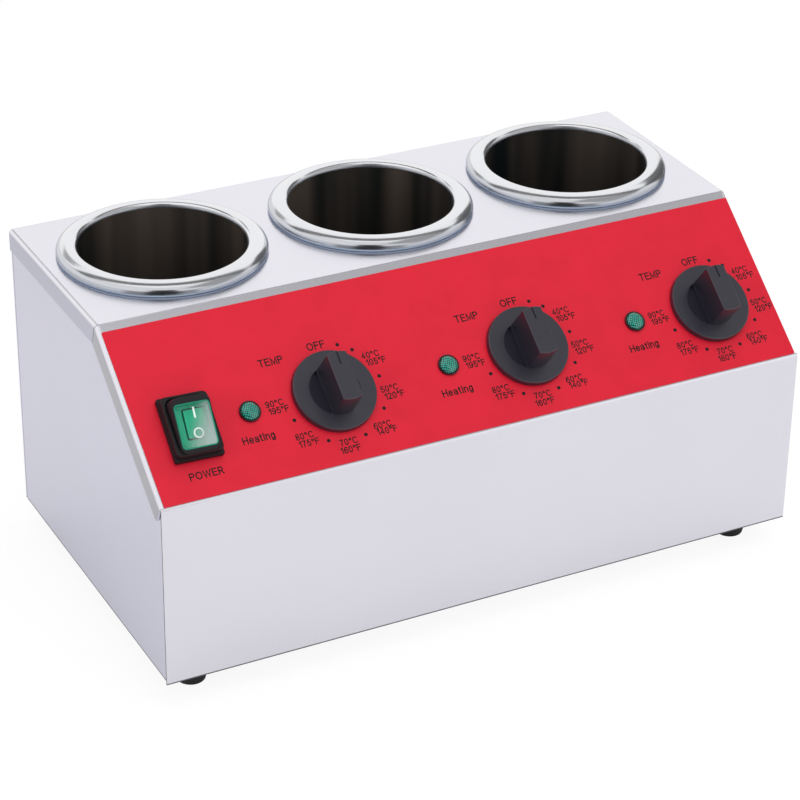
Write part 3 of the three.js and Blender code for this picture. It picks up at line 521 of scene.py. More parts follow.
# Plastics: colour, roughness, scale of the grain, bump and specular level.
PLASTICS = {
    "ceramic": ((0.72, 0.69, 0.62), 0.5, 600.0, 0.1),
    "red_print": ((0.70, 0.012, 0.034), 0.36, 700.0, 0.04, 0.22),
    "black_plastic": ((0.011, 0.010, 0.012), 0.55, 900.0, 0.15, 0.3),
    "knob_plastic": ((0.013, 0.012, 0.023), 0.34, 1400.0, 0.15, 1.0),
    "rubber": ((0.012, 0.012, 0.013), 0.7, 500.0, 0.3),
    "nylon": ((0.014, 0.014, 0.015), 0.45),
    "ink": ((0.014, 0.006, 0.007), 0.5, 900.0, 0.15, 0.3),
    "gloss_black": ((0.008, 0.009, 0.010), 0.12),
    "white_ink": ((0.9, 0.92, 0.91), 0.4),
}
GREENS = {
    "rocker_green": (0.004, 0.32, 0.18),
    # A darker green for the rocker's groove: painted shade.
    "rocker_groove_painted_shade": (0.004, 0.06, 0.045),
    "boot_edge": (0.006, 0.27, 0.16),
}
LOOKS = {name: brushed_metal(name, *row) for name, row in METALS.items()}
LOOKS.update({name: moulded_plastic(name, *row) for name, row in PLASTICS.items()})
LOOKS.update({name: green_moulding(name, color) for name, color in GREENS.items()})
LOOKS.update(well_steel=well_steel(), silicone=silicone(), jewel=jewel(), clear_boot=clear_boot())


# Case


def bend(corner, before, after, radius):
    """Points of a rounded bend at a corner of an outline, between two unit directions."""
    half = before.angle(after) / 2
    tangent = radius * math.tan(half)
    centre = corner + (after - before).normalized() * (radius / math.cos(half))
    first = (corner - before * tangent - centre).normalized()
    last = (corner + after * tangent - centre).normalized()
    return [centre + first.slerp(last, i / BEND_STEPS) * radius for i in range(BEND_STEPS + 1)]


class Skin:
    """Collects sheets of faces that share their edges."""

    def __init__(self):
        self.verts = []
        self.faces = []

    def grid(self, rows):
        start, count = len(self.verts), len(rows[0])
        for row in rows:
            self.verts += row
        for r in range(len(rows) - 1):
            for c in range(count - 1):
                a = start + r * count + c
                self.faces.append((a, a + 1, a + count + 1, a + count))


def slope_point(x, along, under):
    """A point given along the slope and under its outer face, in the case's own axes."""
    y = along * math.cos(SLOPE_ANGLE) + under * math.sin(SLOPE_ANGLE)
    z = FRONT_HEIGHT + along * math.sin(SLOPE_ANGLE) - under * math.cos(SLOPE_ANGLE)
    return Vector((x, y, z))


def flange_section():
    """(inset from the side face, depth under the outer face) down a side flange."""
    fold = arc(0, 0, BEND_RADIUS, 0, 90, BEND_STEPS)
    corner = arc(0, FLANGE_DEPTH - FLANGE_CORNER, FLANGE_CORNER, 0, 90, CORNER_STEPS)
    return [(BEND_RADIUS - y, BEND_RADIUS - x) for x, y in fold] + [(0.0, y) for x, y in corner]


def mitre(depth):
    """How far the side flanges stay back from the upper fold, at a depth."""
    tangent = UPPER_BEND_RADIUS * math.tan(SLOPE_ANGLE / 2)
    return max(tangent, depth * math.tan(SLOPE_ANGLE / 2) + MITRE_HALF_GAP)


def flange_start(depth):
    """Where a side flange starts along the slope, at a depth."""
    if depth <= BEND_RADIUS:
        return FLANGE_SETBACK
    rest = min(FLANGE_CORNER, max(0.0, depth - (FLANGE_DEPTH - FLANGE_CORNER)))
    return FLANGE_END + FLANGE_CORNER - math.sqrt(FLANGE_CORNER**2 - rest**2)


def thickened(name, skin, outward):
    """A sheet of steel from its outer skin, which faces a direction."""
    mesh = mesh_from(name, skin.verts, skin.faces)
    turn_outward(mesh, outward)
    return with_modifier(mesh, "SOLIDIFY", thickness=SHEET, offset=-1, use_even_offset=True)


def add_front_and_slope(skin, flat):
    """The front sheet and the slope, as wide as the case up to the start of the flanges."""
    up, back = Vector((0, 1)), Vector((1, 0))
    slope = Vector((math.cos(SLOPE_ANGLE), math.sin(SLOPE_ANGLE)))
    lower = bend(Vector((0, FRONT_HEIGHT)), up, slope, LOWER_BEND_RADIUS)
    upper = bend(Vector((SLOPE_RUN, HEIGHT)), slope, back, UPPER_BEND_RADIUS)
    start = slope_point(0, FLANGE_SETBACK, 0).yz
    front = [Vector((0, 0)), Vector((0, PAINTED_SHADE_STRIP)), *lower, start]
    skin.grid([[Vector((x, y, z)) for x in (-HALF_LENGTH, -flat, flat, HALF_LENGTH)]
               for y, z in front])
    skin.grid([[Vector((x, y, z)) for x in (-flat, flat)] for y, z in [start, *upper]])


def add_slope_flange(skin, section, side):
    rows = []
    for inset, depth in section:
        x = side * (HALF_LENGTH - inset)
        first = slope_point(x, flange_start(depth), depth)
        rows.append([first, slope_point(x, SLOPE_LENGTH - mitre(depth), depth)])
    skin.grid(rows)


def add_skirt(skin, section, flat, rear):
    """The flange that runs round the top's two sides and its back."""
    rows = []
    for inset, depth in section:
        reach, z = BEND_RADIUS - inset, HEIGHT - depth
        front = SLOPE_RUN + mitre(depth)
        row = [(inset - HALF_LENGTH, front)]
        for side, first in ((-1, 180), (1, 90)):
            row += arc(side * flat, rear, reach, first, first - 90, BEND_STEPS)
        row.append((HALF_LENGTH - inset, front))
        rows.append([Vector((x, y, z)) for x, y in row])
    skin.grid(rows)


def add_top(skin, flat, rear):
    """The top sheet with its three holes, as triangles."""
    front = SLOPE_RUN + mitre(0)
    loops = [[(-flat, front), (flat, front), (flat, rear), (-flat, rear)]]
    loops += [circle(WELL_HOLE, HOLE_STEPS, well.x, well.y - FRONT_Y) for well in WELLS]
    bm = bmesh.new()
    for loop in loops:
        verts = [bm.verts.new((x, y, HEIGHT)) for x, y in loop]
        for a, b in zip(verts, verts[1:] + verts[:1]):
            bm.edges.new((a, b))
    bmesh.ops.triangle_fill(bm, use_beauty=True, use_dissolve=False, edges=bm.edges)
    bm.verts.ensure_lookup_table()
    offset = len(skin.verts)
    skin.verts += [vertex.co.copy() for vertex in bm.verts]
    skin.faces += [[offset + vertex.index for vertex in face.verts] for face in bm.faces]
    bm.free()


def cover_mesh():
    skin = Skin()
    flat, rear = HALF_LENGTH - BEND_RADIUS, DEPTH - BEND_RADIUS
    section = flange_section()
    add_front_and_slope(skin, flat)
    for side in (-1, 1):
        add_slope_flange(skin, section, side)
    add_skirt(skin, section, flat, rear)
    add_top(skin, flat, rear)
    return thickened("top_cover_skin", skin, Vector((0, 0, 1)))


def turn_outward(mesh, direction):
    """Flips a sheet if its largest face along a direction looks the other way."""
    best = max(mesh.polygons, key=lambda p: abs(p.normal.dot(direction)) * p.area)
    if best.normal.dot(direction) < 0:
        mesh.flip_normals()


def side_limit(y):
    """The height of a side panel's upper edge, a clearance under the cover."""
    slope_drop = SIDE_INSET / math.cos(SLOPE_ANGLE)
    return min(HEIGHT - SIDE_INSET, FRONT_HEIGHT + y * math.tan(SLOPE_ANGLE) - slope_drop)


def side_panel_mesh(side):
    low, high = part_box("side_panel_right")
    outer = high.x
    front, rear = low.y - FRONT_Y, high.y - FRONT_Y
    knee = SLOPE_RUN + SIDE_INSET * math.tan(SLOPE_ANGLE / 2)
    path = [Vector((outer - RETURN_WIDTH, front))]
    ahead, across = Vector((0, 1)), Vector((1, 0))
    path += bend(Vector((outer, front)), across, ahead, SIDE_BEND_RADIUS)
    path += [Vector((outer, knee))]
    path += bend(Vector((outer, rear)), ahead, -across, SIDE_BEND_RADIUS)
    path += [Vector((outer - RETURN_WIDTH, rear))]
    skin = Skin()
    rows = [[Vector((side * x, y, z)) for x, y in path] for z in (0, PAINTED_SHADE_STRIP)]
    rows.append([Vector((side * x, y, side_limit(y))) for x, y in path])
    skin.grid(rows)
    return thickened("side_skin", skin, Vector((side, 0, 0)))


def mark_faces(mesh, chosen, index):
    """Gives the faces that pass a test another material."""
    for polygon in mesh.polygons:
        if chosen(polygon):
            polygon.material_index = index


def on_flange(polygon):
    return abs(polygon.normal.x) > SQUARELY and abs(polygon.center.x) > HALF_LENGTH - 2 * SHEET


def on_slope_flange(polygon):
    return on_flange(polygon) and polygon.center.y < SLOPE_RUN


def on_low_edge(polygon):
    return polygon.center.z < PAINTED_SHADE_STRIP


def on_front_edge(polygon):
    """The cut edges at the two ends of the front sheet."""
    centre = polygon.center
    on_front = centre.y < 1.2 * SHEET and centre.z < FRONT_HEIGHT
    return on_front and abs(polygon.normal.x) > ROUGHLY


def make_case():
    cover = cover_mesh()
    # The cover's flanges get darker steel: painted shade.
    mark_faces(cover, on_flange, 1)
    mark_faces(cover, on_slope_flange, 2)
    # The front sheet's end edges and the low strip along its lower edge take near-black steel:
    # painted shade.
    mark_faces(cover, on_front_edge, 3)
    mark_faces(cover, on_low_edge, 3)
    looks = ["case_steel", "flange_painted_shade", "slope_flange_painted_shade", "edge_painted_shade"]
    piece("cover_sheet", cover, "case", looks, ["top_cover"], CASE)
    for side, word in ((-1, "left"), (1, "right")):
        mesh = side_panel_mesh(side)
        # The low strip along the panel's lower edge takes near-black steel: painted shade.
        mark_faces(mesh, on_low_edge, 1)
        piece(f"side_sheet_{word}", mesh, "case", ["side_steel", "edge_painted_shade"],
              [f"side_panel_{word}"], CASE)


# Wells

WELL_INNER = 50.5 * MM
WELL_DEPTH = 150 * MM
WELL_CORNER = 8 * MM
WELL_STEPS = 160
WELL_HOLE = 54.8 * MM
HOLE_STEPS = 64
RIM_RADIUS = 63 * MM
RIM_HEIGHT = 7 * MM
RIM_EDGE = 1.7 * MM
RIM_STEPS = 24
LIP_RADIUS = 3.2 * MM
LIP_STEPS = 14
LIP_DULL_STEPS = 6
SEAL_INNER = 58.4 * MM
SEAL_OUTER = 62.7 * MM
SEAL_BOTTOM = 0.1 * MM
SEAL_TOP = 1.5 * MM
ROUND_STEPS = 8
# Angles down the rim's dome, from its crown, where painted shade darkens it in two steps.
FLANK_ANGLE, SHADE_ANGLE = 45, 68
# Depths of the extra rows of points that keep the wall's shading straight.
WALL_ROWS = (140 * MM, 100 * MM, 50 * MM, 10 * MM, 2 * MM, 0.6 * MM)


def rim_dome(inset):
    """The rim's outline from its crown down to its outer edge, drawn in by an inset."""
    crown = WELL_INNER + LIP_RADIUS
    reach, drop = RIM_RADIUS - crown - inset, RIM_HEIGHT - RIM_EDGE - inset
    return oval(crown, RIM_EDGE, reach, drop, 90, 0, RIM_STEPS)


def well_profile():
    """Profile from the middle of the floor, up the inside and over the rim, and back under it."""
    lip_x, lip_z = WELL_INNER + LIP_RADIUS, RIM_HEIGHT - LIP_RADIUS
    corner_x, corner_z = WELL_INNER - WELL_CORNER, WELL_CORNER - WELL_DEPTH
    profile = [(0, -WELL_DEPTH)]
    profile += arc(corner_x, corner_z, WELL_CORNER, -90, 0, ROUND_STEPS)
    profile += [(WELL_INNER, lip_z - depth) for depth in WALL_ROWS]
    inside = len(profile)
    profile += arc(lip_x, lip_z, LIP_RADIUS, 180, 90, LIP_STEPS)
    profile += rim_dome(0)[1:]
    profile += reversed(rim_dome(SHEET))
    profile += arc(lip_x, lip_z, LIP_RADIUS - SHEET, 90, 180, ROUND_STEPS)[1:]
    profile += arc(corner_x + SHEET, corner_z - SHEET, WELL_CORNER, 0, -90, ROUND_STEPS)
    profile += [(0, -WELL_DEPTH - SHEET)]
    return profile, well_parts(len(profile) - 1, inside)


def well_parts(count, inside):
    """A material index for each span of a well's profile: wall, lip, crown, and two steps of
    painted shade on the dome's flank.
    """
    parts = [0] * count
    parts[:inside] = [1] * inside
    parts[inside:inside + LIP_DULL_STEPS] = [4] * LIP_DULL_STEPS
    for step in range(RIM_STEPS):
        angle = 90 * (step + 0.5) / RIM_STEPS
        if angle > FLANK_ANGLE:
            parts[inside + LIP_STEPS + step] = 2 if angle < SHADE_ANGLE else 3
    return parts


def seal_mesh():
    edge = (SEAL_TOP - SEAL_BOTTOM) / 2
    section = arc(SEAL_OUTER - edge, SEAL_BOTTOM + edge, edge, -90, 90, ROUND_STEPS)
    section += [(SEAL_INNER, SEAL_TOP), (SEAL_INNER, SEAL_BOTTOM)]
    return lathe("seal_ring", section, WELL_STEPS, closed=True)


def make_wells():
    profile, parts = well_profile()
    looks = ["rim_steel", "well_steel", "rim_flank_painted_shade", "rim_painted_shade", "lip_steel"]
    for number, centre in enumerate(WELLS, 1):
        place = Matrix.Translation((centre.x, centre.y, BASE_Z + HEIGHT))
        pot = lathe("pot", profile, WELL_STEPS, parts=parts)
        piece(f"pot_{number}", pot, "case", looks, [f"well_{number}"], place, 50)
        piece(f"seal_ring_{number}", seal_mesh(), "case", ["silicone"], [f"well_gasket_{number}"],
              place)


# Control panel

# The printed sheet and its holes, measured on the slope.
SHEET_LEFT, SHEET_RIGHT = -207.7 * MM, 208.3 * MM
SHEET_LOW, SHEET_HIGH = 1.5 * MM, 111.1 * MM
SHEET_CORNER = 0.8 * MM
SHEET_BOTTOM = 0.05 * MM
SHEET_EDGE = 0.12 * MM
SHEET_CORNER_STEPS = 6
DIAL_HOLE = 4.4 * MM
LAMP_HOLE = 5.3 * MM
# Width, length, corner radius and steps of the switch's hole.
SWITCH_HOLE = 22 * MM, 31.6 * MM, 1.6 * MM, 4
PRINT_HOLE_STEPS = 32

DOT_CIRCLE = 30.8 * MM
DOT_RADIUS = 1.15 * MM
DOT_ANGLES = (25, 42, 83.6, 122.2, 162.2, 206, 249)
DOT_STEPS = 24
# Words beside each dial, in millimetres: their middle from the dial's centre, along and up the
# slope, and the height of a capital.
DIAL_LABELS = (
    ("OFF", 0.0, 30.3, 4.85),
    ("TEMP", -29.8, 26.9, 4.8),
    ("40°C", 30.1, 17.6, 4.1),
    ("105°F", 32.1, 12.9, 4.1),
    ("50°C", 33.7, -5.2, 4.1),
    ("120°F", 35.3, -9.9, 4.1),
    ("60°C", 21.3, -25.9, 4.1),
    ("140°F", 22.8, -29.8, 4.1),
    ("70°C", -2.2, -30.9, 4.1),
    ("160°F", -2.6, -35.7, 4.1),
    ("80°C", -26.5, -21.4, 4.1),
    ("175°F", -25.2, -26.1, 4.1),
    ("90°C", -36.7, 1.7, 4.1),
    ("195°F", -35.5, -2.9, 4.1),
    ("Heating", -52.9, -16.4, 4.75),
)
POWER_LABEL = ("POWER", -177.6, 15.1, 4.7)
STROKE_SHARE = 0.155
LETTER_GAP = 0.30
LETTER_WIDTH = 1.05

# Plain block letters, as the strokes' centre lines in heights of a capital.
HEAD_OF_P = [(0, 0), (0, 1), (0.32, 1), *oval(0.32, 0.74, 0.26, 0.26, 90, -90), (0, 0.48)]
GLYPHS = {
    "O": [oval(0.40, 0.5, 0.40, 0.5)],
    "C": [oval(0.38, 0.5, 0.38, 0.5, 42, 318)],
    "F": [[(0, 0), (0, 1), (0.54, 1)], [(0, 0.53), (0.47, 0.53)]],
    "E": [[(0.58, 0), (0, 0), (0, 1), (0.56, 1)], [(0, 0.53), (0.52, 0.53)]],
    "T": [[(0.33, 0), (0.33, 1)], [(0, 1), (0.66, 1)]],
    "M": [[(0, 0), (0, 1), (0.36, 0.06), (0.72, 1), (0.72, 0)]],
    "W": [[(0, 1), (0.24, 0), (0.50, 0.96), (0.76, 0), (1, 1)]],
    "H": [[(0, 0), (0, 1)], [(0.62, 0), (0.62, 1)], [(0, 0.53), (0.62, 0.53)]],
    "P": [HEAD_OF_P],
    "R": [HEAD_OF_P, [(0.30, 0.48), (0.60, 0)]],
    "0": [oval(0.25, 0.5, 0.25, 0.5)],
    "1": [[(0.07, 0.76), (0.31, 1), (0.31, 0)]],
    "2": [[*oval(0.25, 0.74, 0.24, 0.26, 165, -35), (0, 0), (0.50, 0)]],
    "4": [[(0.37, 0), (0.37, 1), (0, 0.30), (0.52, 0.30)]],
    "5": [[(0.46, 1), (0.09, 1), (0.04, 0.54), *oval(0.24, 0.32, 0.26, 0.32, 130, -150)]],
    "6": [oval(0.25, 0.31, 0.25, 0.31), oval(0.30, 0.45, 0.30, 0.55, 190, 50)],
    "7": [[(0, 1), (0.50, 1), (0.27, 0.55), (0.17, 0)]],
    "8": [oval(0.25, 0.76, 0.21, 0.24), oval(0.25, 0.26, 0.25, 0.26)],
    "9": [oval(0.25, 0.69, 0.25, 0.31), oval(0.20, 0.55, 0.30, 0.55, 10, -130)],
    "°": [oval(0.15, 0.83, 0.14, 0.17)],
    "a": [oval(0.21, 0.20, 0.21, 0.20), [*oval(0.23, 0.52, 0.21, 0.20, 160, 0), (0.44, 0)]],
    "e": [[(0.02, 0.38), (0.48, 0.38), *oval(0.25, 0.36, 0.25, 0.36, 5, 320)]],
    "g": [oval(0.22, 0.36, 0.22, 0.36),
          [(0.45, 0.72), (0.45, 0), *oval(0.23, -0.06, 0.22, 0.2, 0, -160)]],
    "i": [[(0, 0), (0, 0.72)], [(0, 0.92), (0, 1)]],
    "n": [[(0, 0), (0, 0.72)], [*oval(0.22, 0.48, 0.22, 0.24, 165, 0), (0.44, 0)]],
    "t": [[(0.12, 0.95), (0.12, 0.10), (0.18, 0.01), (0.28, 0.01)], [(0, 0.70), (0.27, 0.70)]],
}


def stroke_mesh(points, width, height):
    """A flat band along a line of points, with its corners mitred."""
    closed = math.dist(points[0], points[-1]) < 1e-9
    points = [Vector(point) for point in (points[:-1] if closed else points)]
    count = len(points)
    ways = [(b - a).normalized() for a, b in zip(points, points[1:] + points[:1])]
    left, right = [], []
    for k, point in enumerate(points):
        before, after = ways[k - 1], ways[k]
        if k == 0 and not closed:
            before = after
            point = point - after * (width / 2)
        elif k == count - 1 and not closed:
            after = before
            point = point + before * (width / 2)
        middle = (before + after).normalized()
        side = Vector((-middle.y, middle.x)) * (width / 2 / max(0.4, middle.dot(before)))
        left.append((*(point + side), height))
        right.append((*(point - side), height))
    faces = []
    for k in range(count if closed else count - 1):
        n = (k + 1) % count
        faces.append((k, n, count + n, count + k))
    mesh = bpy.data.meshes.new("stroke")
    mesh.from_pydata(left + right, [], faces)
    turn_outward(mesh, Vector((0, 0, 1)))
    return mesh


def text_mesh(label, x=0.0, y=0.0):
    """Printed letters from a label's row of words, place and size. x and y are the row's origin."""
    words, *numbers = label
    across, up, capital = (number * MM for number in numbers)
    width = capital * STROKE_SHARE
    unit = capital - width
    strokes, along = [], 0.0
    for letter in words:
        lines = GLYPHS[letter]
        for points in lines:
            strokes.append([(along + px, py - 0.5) for px, py in points])
        along += max(px for points in lines for px, py in points) + LETTER_GAP
    middle = (along - LETTER_GAP) / 2
    x, y = x + across, y + up
    meshes = []
    for points in strokes:
        points = [(x + (px - middle) * unit * LETTER_WIDTH, y + py * unit) for px, py in points]
        meshes.append(stroke_mesh(points, width, OVERLAY_TOP + PRINT_HEIGHT))
    return merged("print", meshes)


def printed_sheet_mesh():
    middle = (SHEET_LEFT + SHEET_RIGHT) / 2, (SHEET_LOW + SHEET_HIGH) / 2
    size = SHEET_RIGHT - SHEET_LEFT, SHEET_HIGH - SHEET_LOW
    outline = rounded_rectangle(*size, SHEET_CORNER, SHEET_CORNER_STEPS, *middle)
    holes = [circle(DIAL_HOLE, PRINT_HOLE_STEPS, dial.x, dial.y) for dial in DIALS]
    holes += [circle(LAMP_HOLE, PRINT_HOLE_STEPS, lamp.x, lamp.y) for lamp in LAMPS]
    holes += [rounded_rectangle(*SWITCH_HOLE, SWITCH.x, SWITCH.y)]
    return plate("overlay", outline, SHEET_BOTTOM, OVERLAY_TOP, holes, SHEET_EDGE)


def dial_print_mesh(dial):
    """The words and dots round a dial."""
    marks = [text_mesh(label, dial.x, dial.y) for label in DIAL_LABELS]
    for angle in DOT_ANGLES:
        turn = math.radians(angle)
        x = dial.x + DOT_CIRCLE * math.sin(turn)
        y = dial.y + DOT_CIRCLE * math.cos(turn)
        low, high = OVERLAY_TOP - PRINT_HEIGHT / 2, OVERLAY_TOP + PRINT_HEIGHT / 2
        marks.append(plate("dot", circle(DOT_RADIUS, DOT_STEPS, x, y), low, high))
    return merged("marks", marks)


def make_panel():
    piece("printed_sheet", printed_sheet_mesh(), "case", ["red_print"], ["control_overlay"],
          PANEL)
    prints = {f"dial_print_{number}": dial_print_mesh(dial) for number, dial in enumerate(DIALS, 1)}
    prints["power_print"] = text_mesh(POWER_LABEL)
    for name, mesh in prints.items():
        piece(name, mesh, "case", ["ink"], (), PANEL, weighted=False)


# Knobs

KNOB_RADIUS = 25 * MM
KNOB_FLARE = 0.3 * MM
KNOB_BOTTOM = 0.9 * MM
KNOB_FACE = 4.7 * MM
KNOB_EDGE = 0.6 * MM
KNOB_EDGE_STEPS = 8
KNOB_FOOT_EDGE = 0.3 * MM
KNOB_SOFTENING = 0.15 * MM
KNOB_STEPS = 128
GRIP_RADIUS = 15.5 * MM
GRIP_WIDTH = 12.9 * MM
GRIP_FOOT = 3.2 * MM
GRIP_TOP = 24.8 * MM
GRIP_DRAFT = 0.35 * MM
GRIP_EDGE = 0.5 * MM
GRIP_EDGE_STEPS = 6
GRIP_END_STEPS = 16
POCKET_NEAR = 6.9 * MM
POCKET_DEEP = 2.2 * MM
POCKET_SHALLOW = 0.5 * MM
POCKET_STEPS = 40
MARK_WIDTH = 1.0 * MM
MARK_LENGTH = 8.5 * MM
MARK_DEPTH = 0.8 * MM
NUT_RADIUS = 6.6 * MM
NUT_RECESS_TOP = 3.3 * MM
# How far a cutter reaches past what it cuts.
CUT_MARGIN = 1 * MM


def grip_outline(inset):
    """The grip's outline: two flat sides and two ends on one circle, drawn in."""
    radius, half = GRIP_RADIUS - inset, GRIP_WIDTH / 2 - inset
    start = math.degrees(math.acos(half / radius))
    outline = []
    for turn in (0, 180):
        outline += arc(0, 0, radius, turn + start, turn + 180 - start, GRIP_END_STEPS)
    return outline


def grip_mesh():
    """The straight grip, with the pointer's groove in its top."""
    levels = [(0, GRIP_FOOT), (GRIP_DRAFT, GRIP_TOP - GRIP_EDGE)]
    for x, z in arc(0, GRIP_TOP - GRIP_EDGE, GRIP_EDGE, 0, 90, GRIP_EDGE_STEPS)[1:]:
        levels.append((GRIP_DRAFT + GRIP_EDGE - x, z))
    grip = loft("grip", [[(x, y, z) for x, y in grip_outline(inset)] for inset, z in levels])
    half, near, far = MARK_WIDTH / 2, GRIP_RADIUS - MARK_LENGTH, GRIP_RADIUS + CUT_MARGIN
    outline = [(-half, near), (half, near), (half, far), (-half, far)]
    heights = GRIP_TOP - MARK_DEPTH, GRIP_TOP + CUT_MARGIN
    return cut(grip, loft("groove", [[(x, y, z) for x, y in outline] for z in heights]))


def pocket_mesh(middle):
    """Cutter for the half-moon pocket beside the grip, deepest against the grip."""
    reach = math.degrees(math.acos(POCKET_NEAR / GRIP_RADIUS))
    outline = arc(0, 0, GRIP_RADIUS, middle - reach, middle + reach, POCKET_STEPS)
    pocket = plate("pocket", outline, KNOB_FACE - CUT_MARGIN, KNOB_FACE + CUT_MARGIN)
    for vertex in pocket.vertices:
        if vertex.co.z < KNOB_FACE:
            share = (abs(vertex.co.x) - POCKET_NEAR) / (GRIP_RADIUS - POCKET_NEAR)
            vertex.co.z = KNOB_FACE - POCKET_DEEP + (POCKET_DEEP - POCKET_SHALLOW) * share
    return pocket


def skirt_mesh():
    """The knob's round skirt, with its two pockets and the recess for the nut."""
    foot = KNOB_RADIUS + KNOB_FLARE
    profile = [(0, KNOB_BOTTOM), (foot - KNOB_FOOT_EDGE, KNOB_BOTTOM)]
    profile += [(foot, KNOB_BOTTOM + KNOB_FOOT_EDGE)]
    x, z = KNOB_RADIUS - KNOB_EDGE, KNOB_FACE - KNOB_EDGE
    profile += [*arc(x, z, KNOB_EDGE, 0, 90, KNOB_EDGE_STEPS), (0, KNOB_FACE)]
    skirt = lathe("skirt", profile, KNOB_STEPS)
    for middle in (0, 180):
        skirt = cut(skirt, pocket_mesh(middle))
    return cut(skirt, plate("recess", circle(NUT_RADIUS), KNOB_BOTTOM - CUT_MARGIN, NUT_RECESS_TOP))


def make_knobs():
    whole = merged("knob", [skirt_mesh(), grip_mesh()])
    whole = with_modifier(whole, "BEVEL", width=KNOB_SOFTENING, segments=2, limit_method="ANGLE",
                          angle_limit=math.radians(50), use_clamp_overlap=True)
    for number, dial in enumerate(DIALS, 1):
        place = PANEL @ Matrix.Translation((dial.x, dial.y, 0))
        piece(f"dial_knob_{number}", whole.copy(), f"dial_{number}", ["knob_plastic"],
              [f"knob_{number}"], place, 40)


# Lamps

# Heights above the sloping steel, and radii, of a lens and the ring round it.
LAMP_BASE = 1.0 * MM
RING_OUTER = 6.4 * MM
RING_INNER = 5.2 * MM
RING_EDGE = 0.5 * MM
RING_LAP = 0.2 * MM
RING_CHAMFER = 0.3 * MM
RING_STEPS = 6
LENS_RADIUS = 5.45 * MM
LENS_SHOULDER = 0.9 * MM
LENS_RISE = 2.6 * MM
LENS_STEM = 3.8 * MM
LENS_STEM_LENGTH = 5 * MM
LENS_STEPS = 12
LAMP_STEPS = 48


def ring_profile():
    low, shoulder = LAMP_BASE - RING_LAP, LAMP_BASE + LENS_SHOULDER
    profile = [(RING_INNER, low), (RING_OUTER, low)]
    profile += arc(RING_OUTER - RING_EDGE, shoulder, RING_EDGE, 0, 90, RING_STEPS)
    return profile + [(RING_INNER + RING_CHAMFER, shoulder + RING_CHAMFER), (RING_INNER, shoulder)]


def lens_profile():
    stem, shoulder = LAMP_BASE - LENS_STEM_LENGTH, LAMP_BASE + LENS_SHOULDER
    profile = [(0, stem), (LENS_STEM, stem), (LENS_STEM, LAMP_BASE)]
    profile += [(LENS_RADIUS, LAMP_BASE + RING_LAP)]
    profile += oval(0, shoulder, LENS_RADIUS, LENS_RISE, 0, 90, LENS_STEPS)
    return profile[:-1] + [(0, shoulder + LENS_RISE)]


def make_lamps():
    for number, lamp in enumerate(LAMPS, 1):
        place = PANEL @ Matrix.Translation((lamp.x, lamp.y, 0))
        lens = lathe("lens", lens_profile(), LAMP_STEPS)
        piece(f"lens_{number}", lens, "case", ["jewel"], [f"lamp_lens_{number}"],
              place)
        ring = lathe("ring", ring_profile(), LAMP_STEPS, closed=True)
        piece(f"lens_ring_{number}", ring, "case", ["gloss_black"], (), place)


# Power switch

# The switch sits a little askew in its hole.
SWITCH_TURN = Matrix.Rotation(math.radians(-2), 4, "Z")
# Rings of the frame in millimetres: width, length, corner radius and height.
FRAME_RINGS = (
    (29.6, 39.4, 1.2, 1.0), (29.6, 39.4, 1.2, 3.6), (29.0, 38.8, 1.0, 4.2),
    (28.2, 36.8, 3.0, 4.2), (28.0, 36.6, 3.0, 7.9), (27.2, 35.8, 2.8, 8.5),
    (24.8, 33.8, 4.9, 8.5), (24.0, 33.0, 4.6, 8.0), (24.0, 33.0, 4.6, 4.7),
    (20.0, 27.6, 1.0, 4.7), (20.0, 27.6, 1.0, -3.0),
)
FRAME_STEPS = 8
HOUSING = 21.4 * MM, 31 * MM, 1.2 * MM
HOUSING_BOTTOM, HOUSING_TOP = -21 * MM, 1.0 * MM


def make_switch():
    place = PANEL @ Matrix.Translation((SWITCH.x, SWITCH.y, 0)) @ SWITCH_TURN
    body = loft("frame", rounded_loops(in_metres(FRAME_RINGS), FRAME_STEPS))
    housing = plate("housing", rounded_rectangle(*HOUSING), HOUSING_BOTTOM, HOUSING_TOP)
    piece("switch_frame", merged("switch", [body, housing]), "case", ["black_plastic"],
          ["switch_body"], place)
    make_rocker()
    make_boot(place)


REST_TILT = math.radians(8)
KEY_WEDGE = math.radians(5)
# Heights of the rocker's face, of the groove in it and of its raised lens, in millimetres.
KEY_FACE, MOAT_FLOOR, LENS_TOP = 8.6, 7.6, 9.4
# Rings of the rocker's stem, body and lens, as for the frame.
KEY_STEM = ((18.8, 24.4, 0.8, -1.0), (18.8, 24.4, 0.8, 3.0))
KEY_BODY = (
    (18.8, 24.4, 0.8, 5.4), (20.8, 27.6, 2.6, 5.4), (20.8, 27.6, 2.6, KEY_FACE - 0.2),
    (20.4, 27.2, 2.4, KEY_FACE),
)
KEY_LENS = (
    (14.2, 18.0, 0.9, KEY_FACE), (14.2, 18.0, 0.9, MOAT_FLOOR), (12.9, 16.2, 0.8, MOAT_FLOOR),
    (12.9, 16.2, 0.8, LENS_TOP - 0.3), (12.4, 15.7, 0.7, LENS_TOP),
)
KEY_STEPS = 5
# The lens's middle, and half the width and length that hold the groove round it.
LENS_X, LENS_Y = 1.2 * MM, 0.5 * MM
MOAT_REACH = 7.3 * MM, 9.4 * MM
# The marks on the lens: the bar's width, length, corner radius and steps, and the ring's radii.
BAR = 1.1 * MM, 6.3 * MM, 0.2 * MM, 3
BAR_Y = 6.7 * MM
LOOP_RADII = 3.05 * MM, 2.15 * MM
LOOP_Y = -5.1 * MM
LOOP_STEPS = 40


def in_moat(polygon):
    """Faces of the groove round the rocker's raised lens."""
    x, y, z = polygon.center
    inside = abs(x - LENS_X) < MOAT_REACH[0] and abs(y - LENS_Y) < MOAT_REACH[1]
    return inside and MOAT_FLOOR - 0.1 < z / MM < KEY_FACE - 0.1


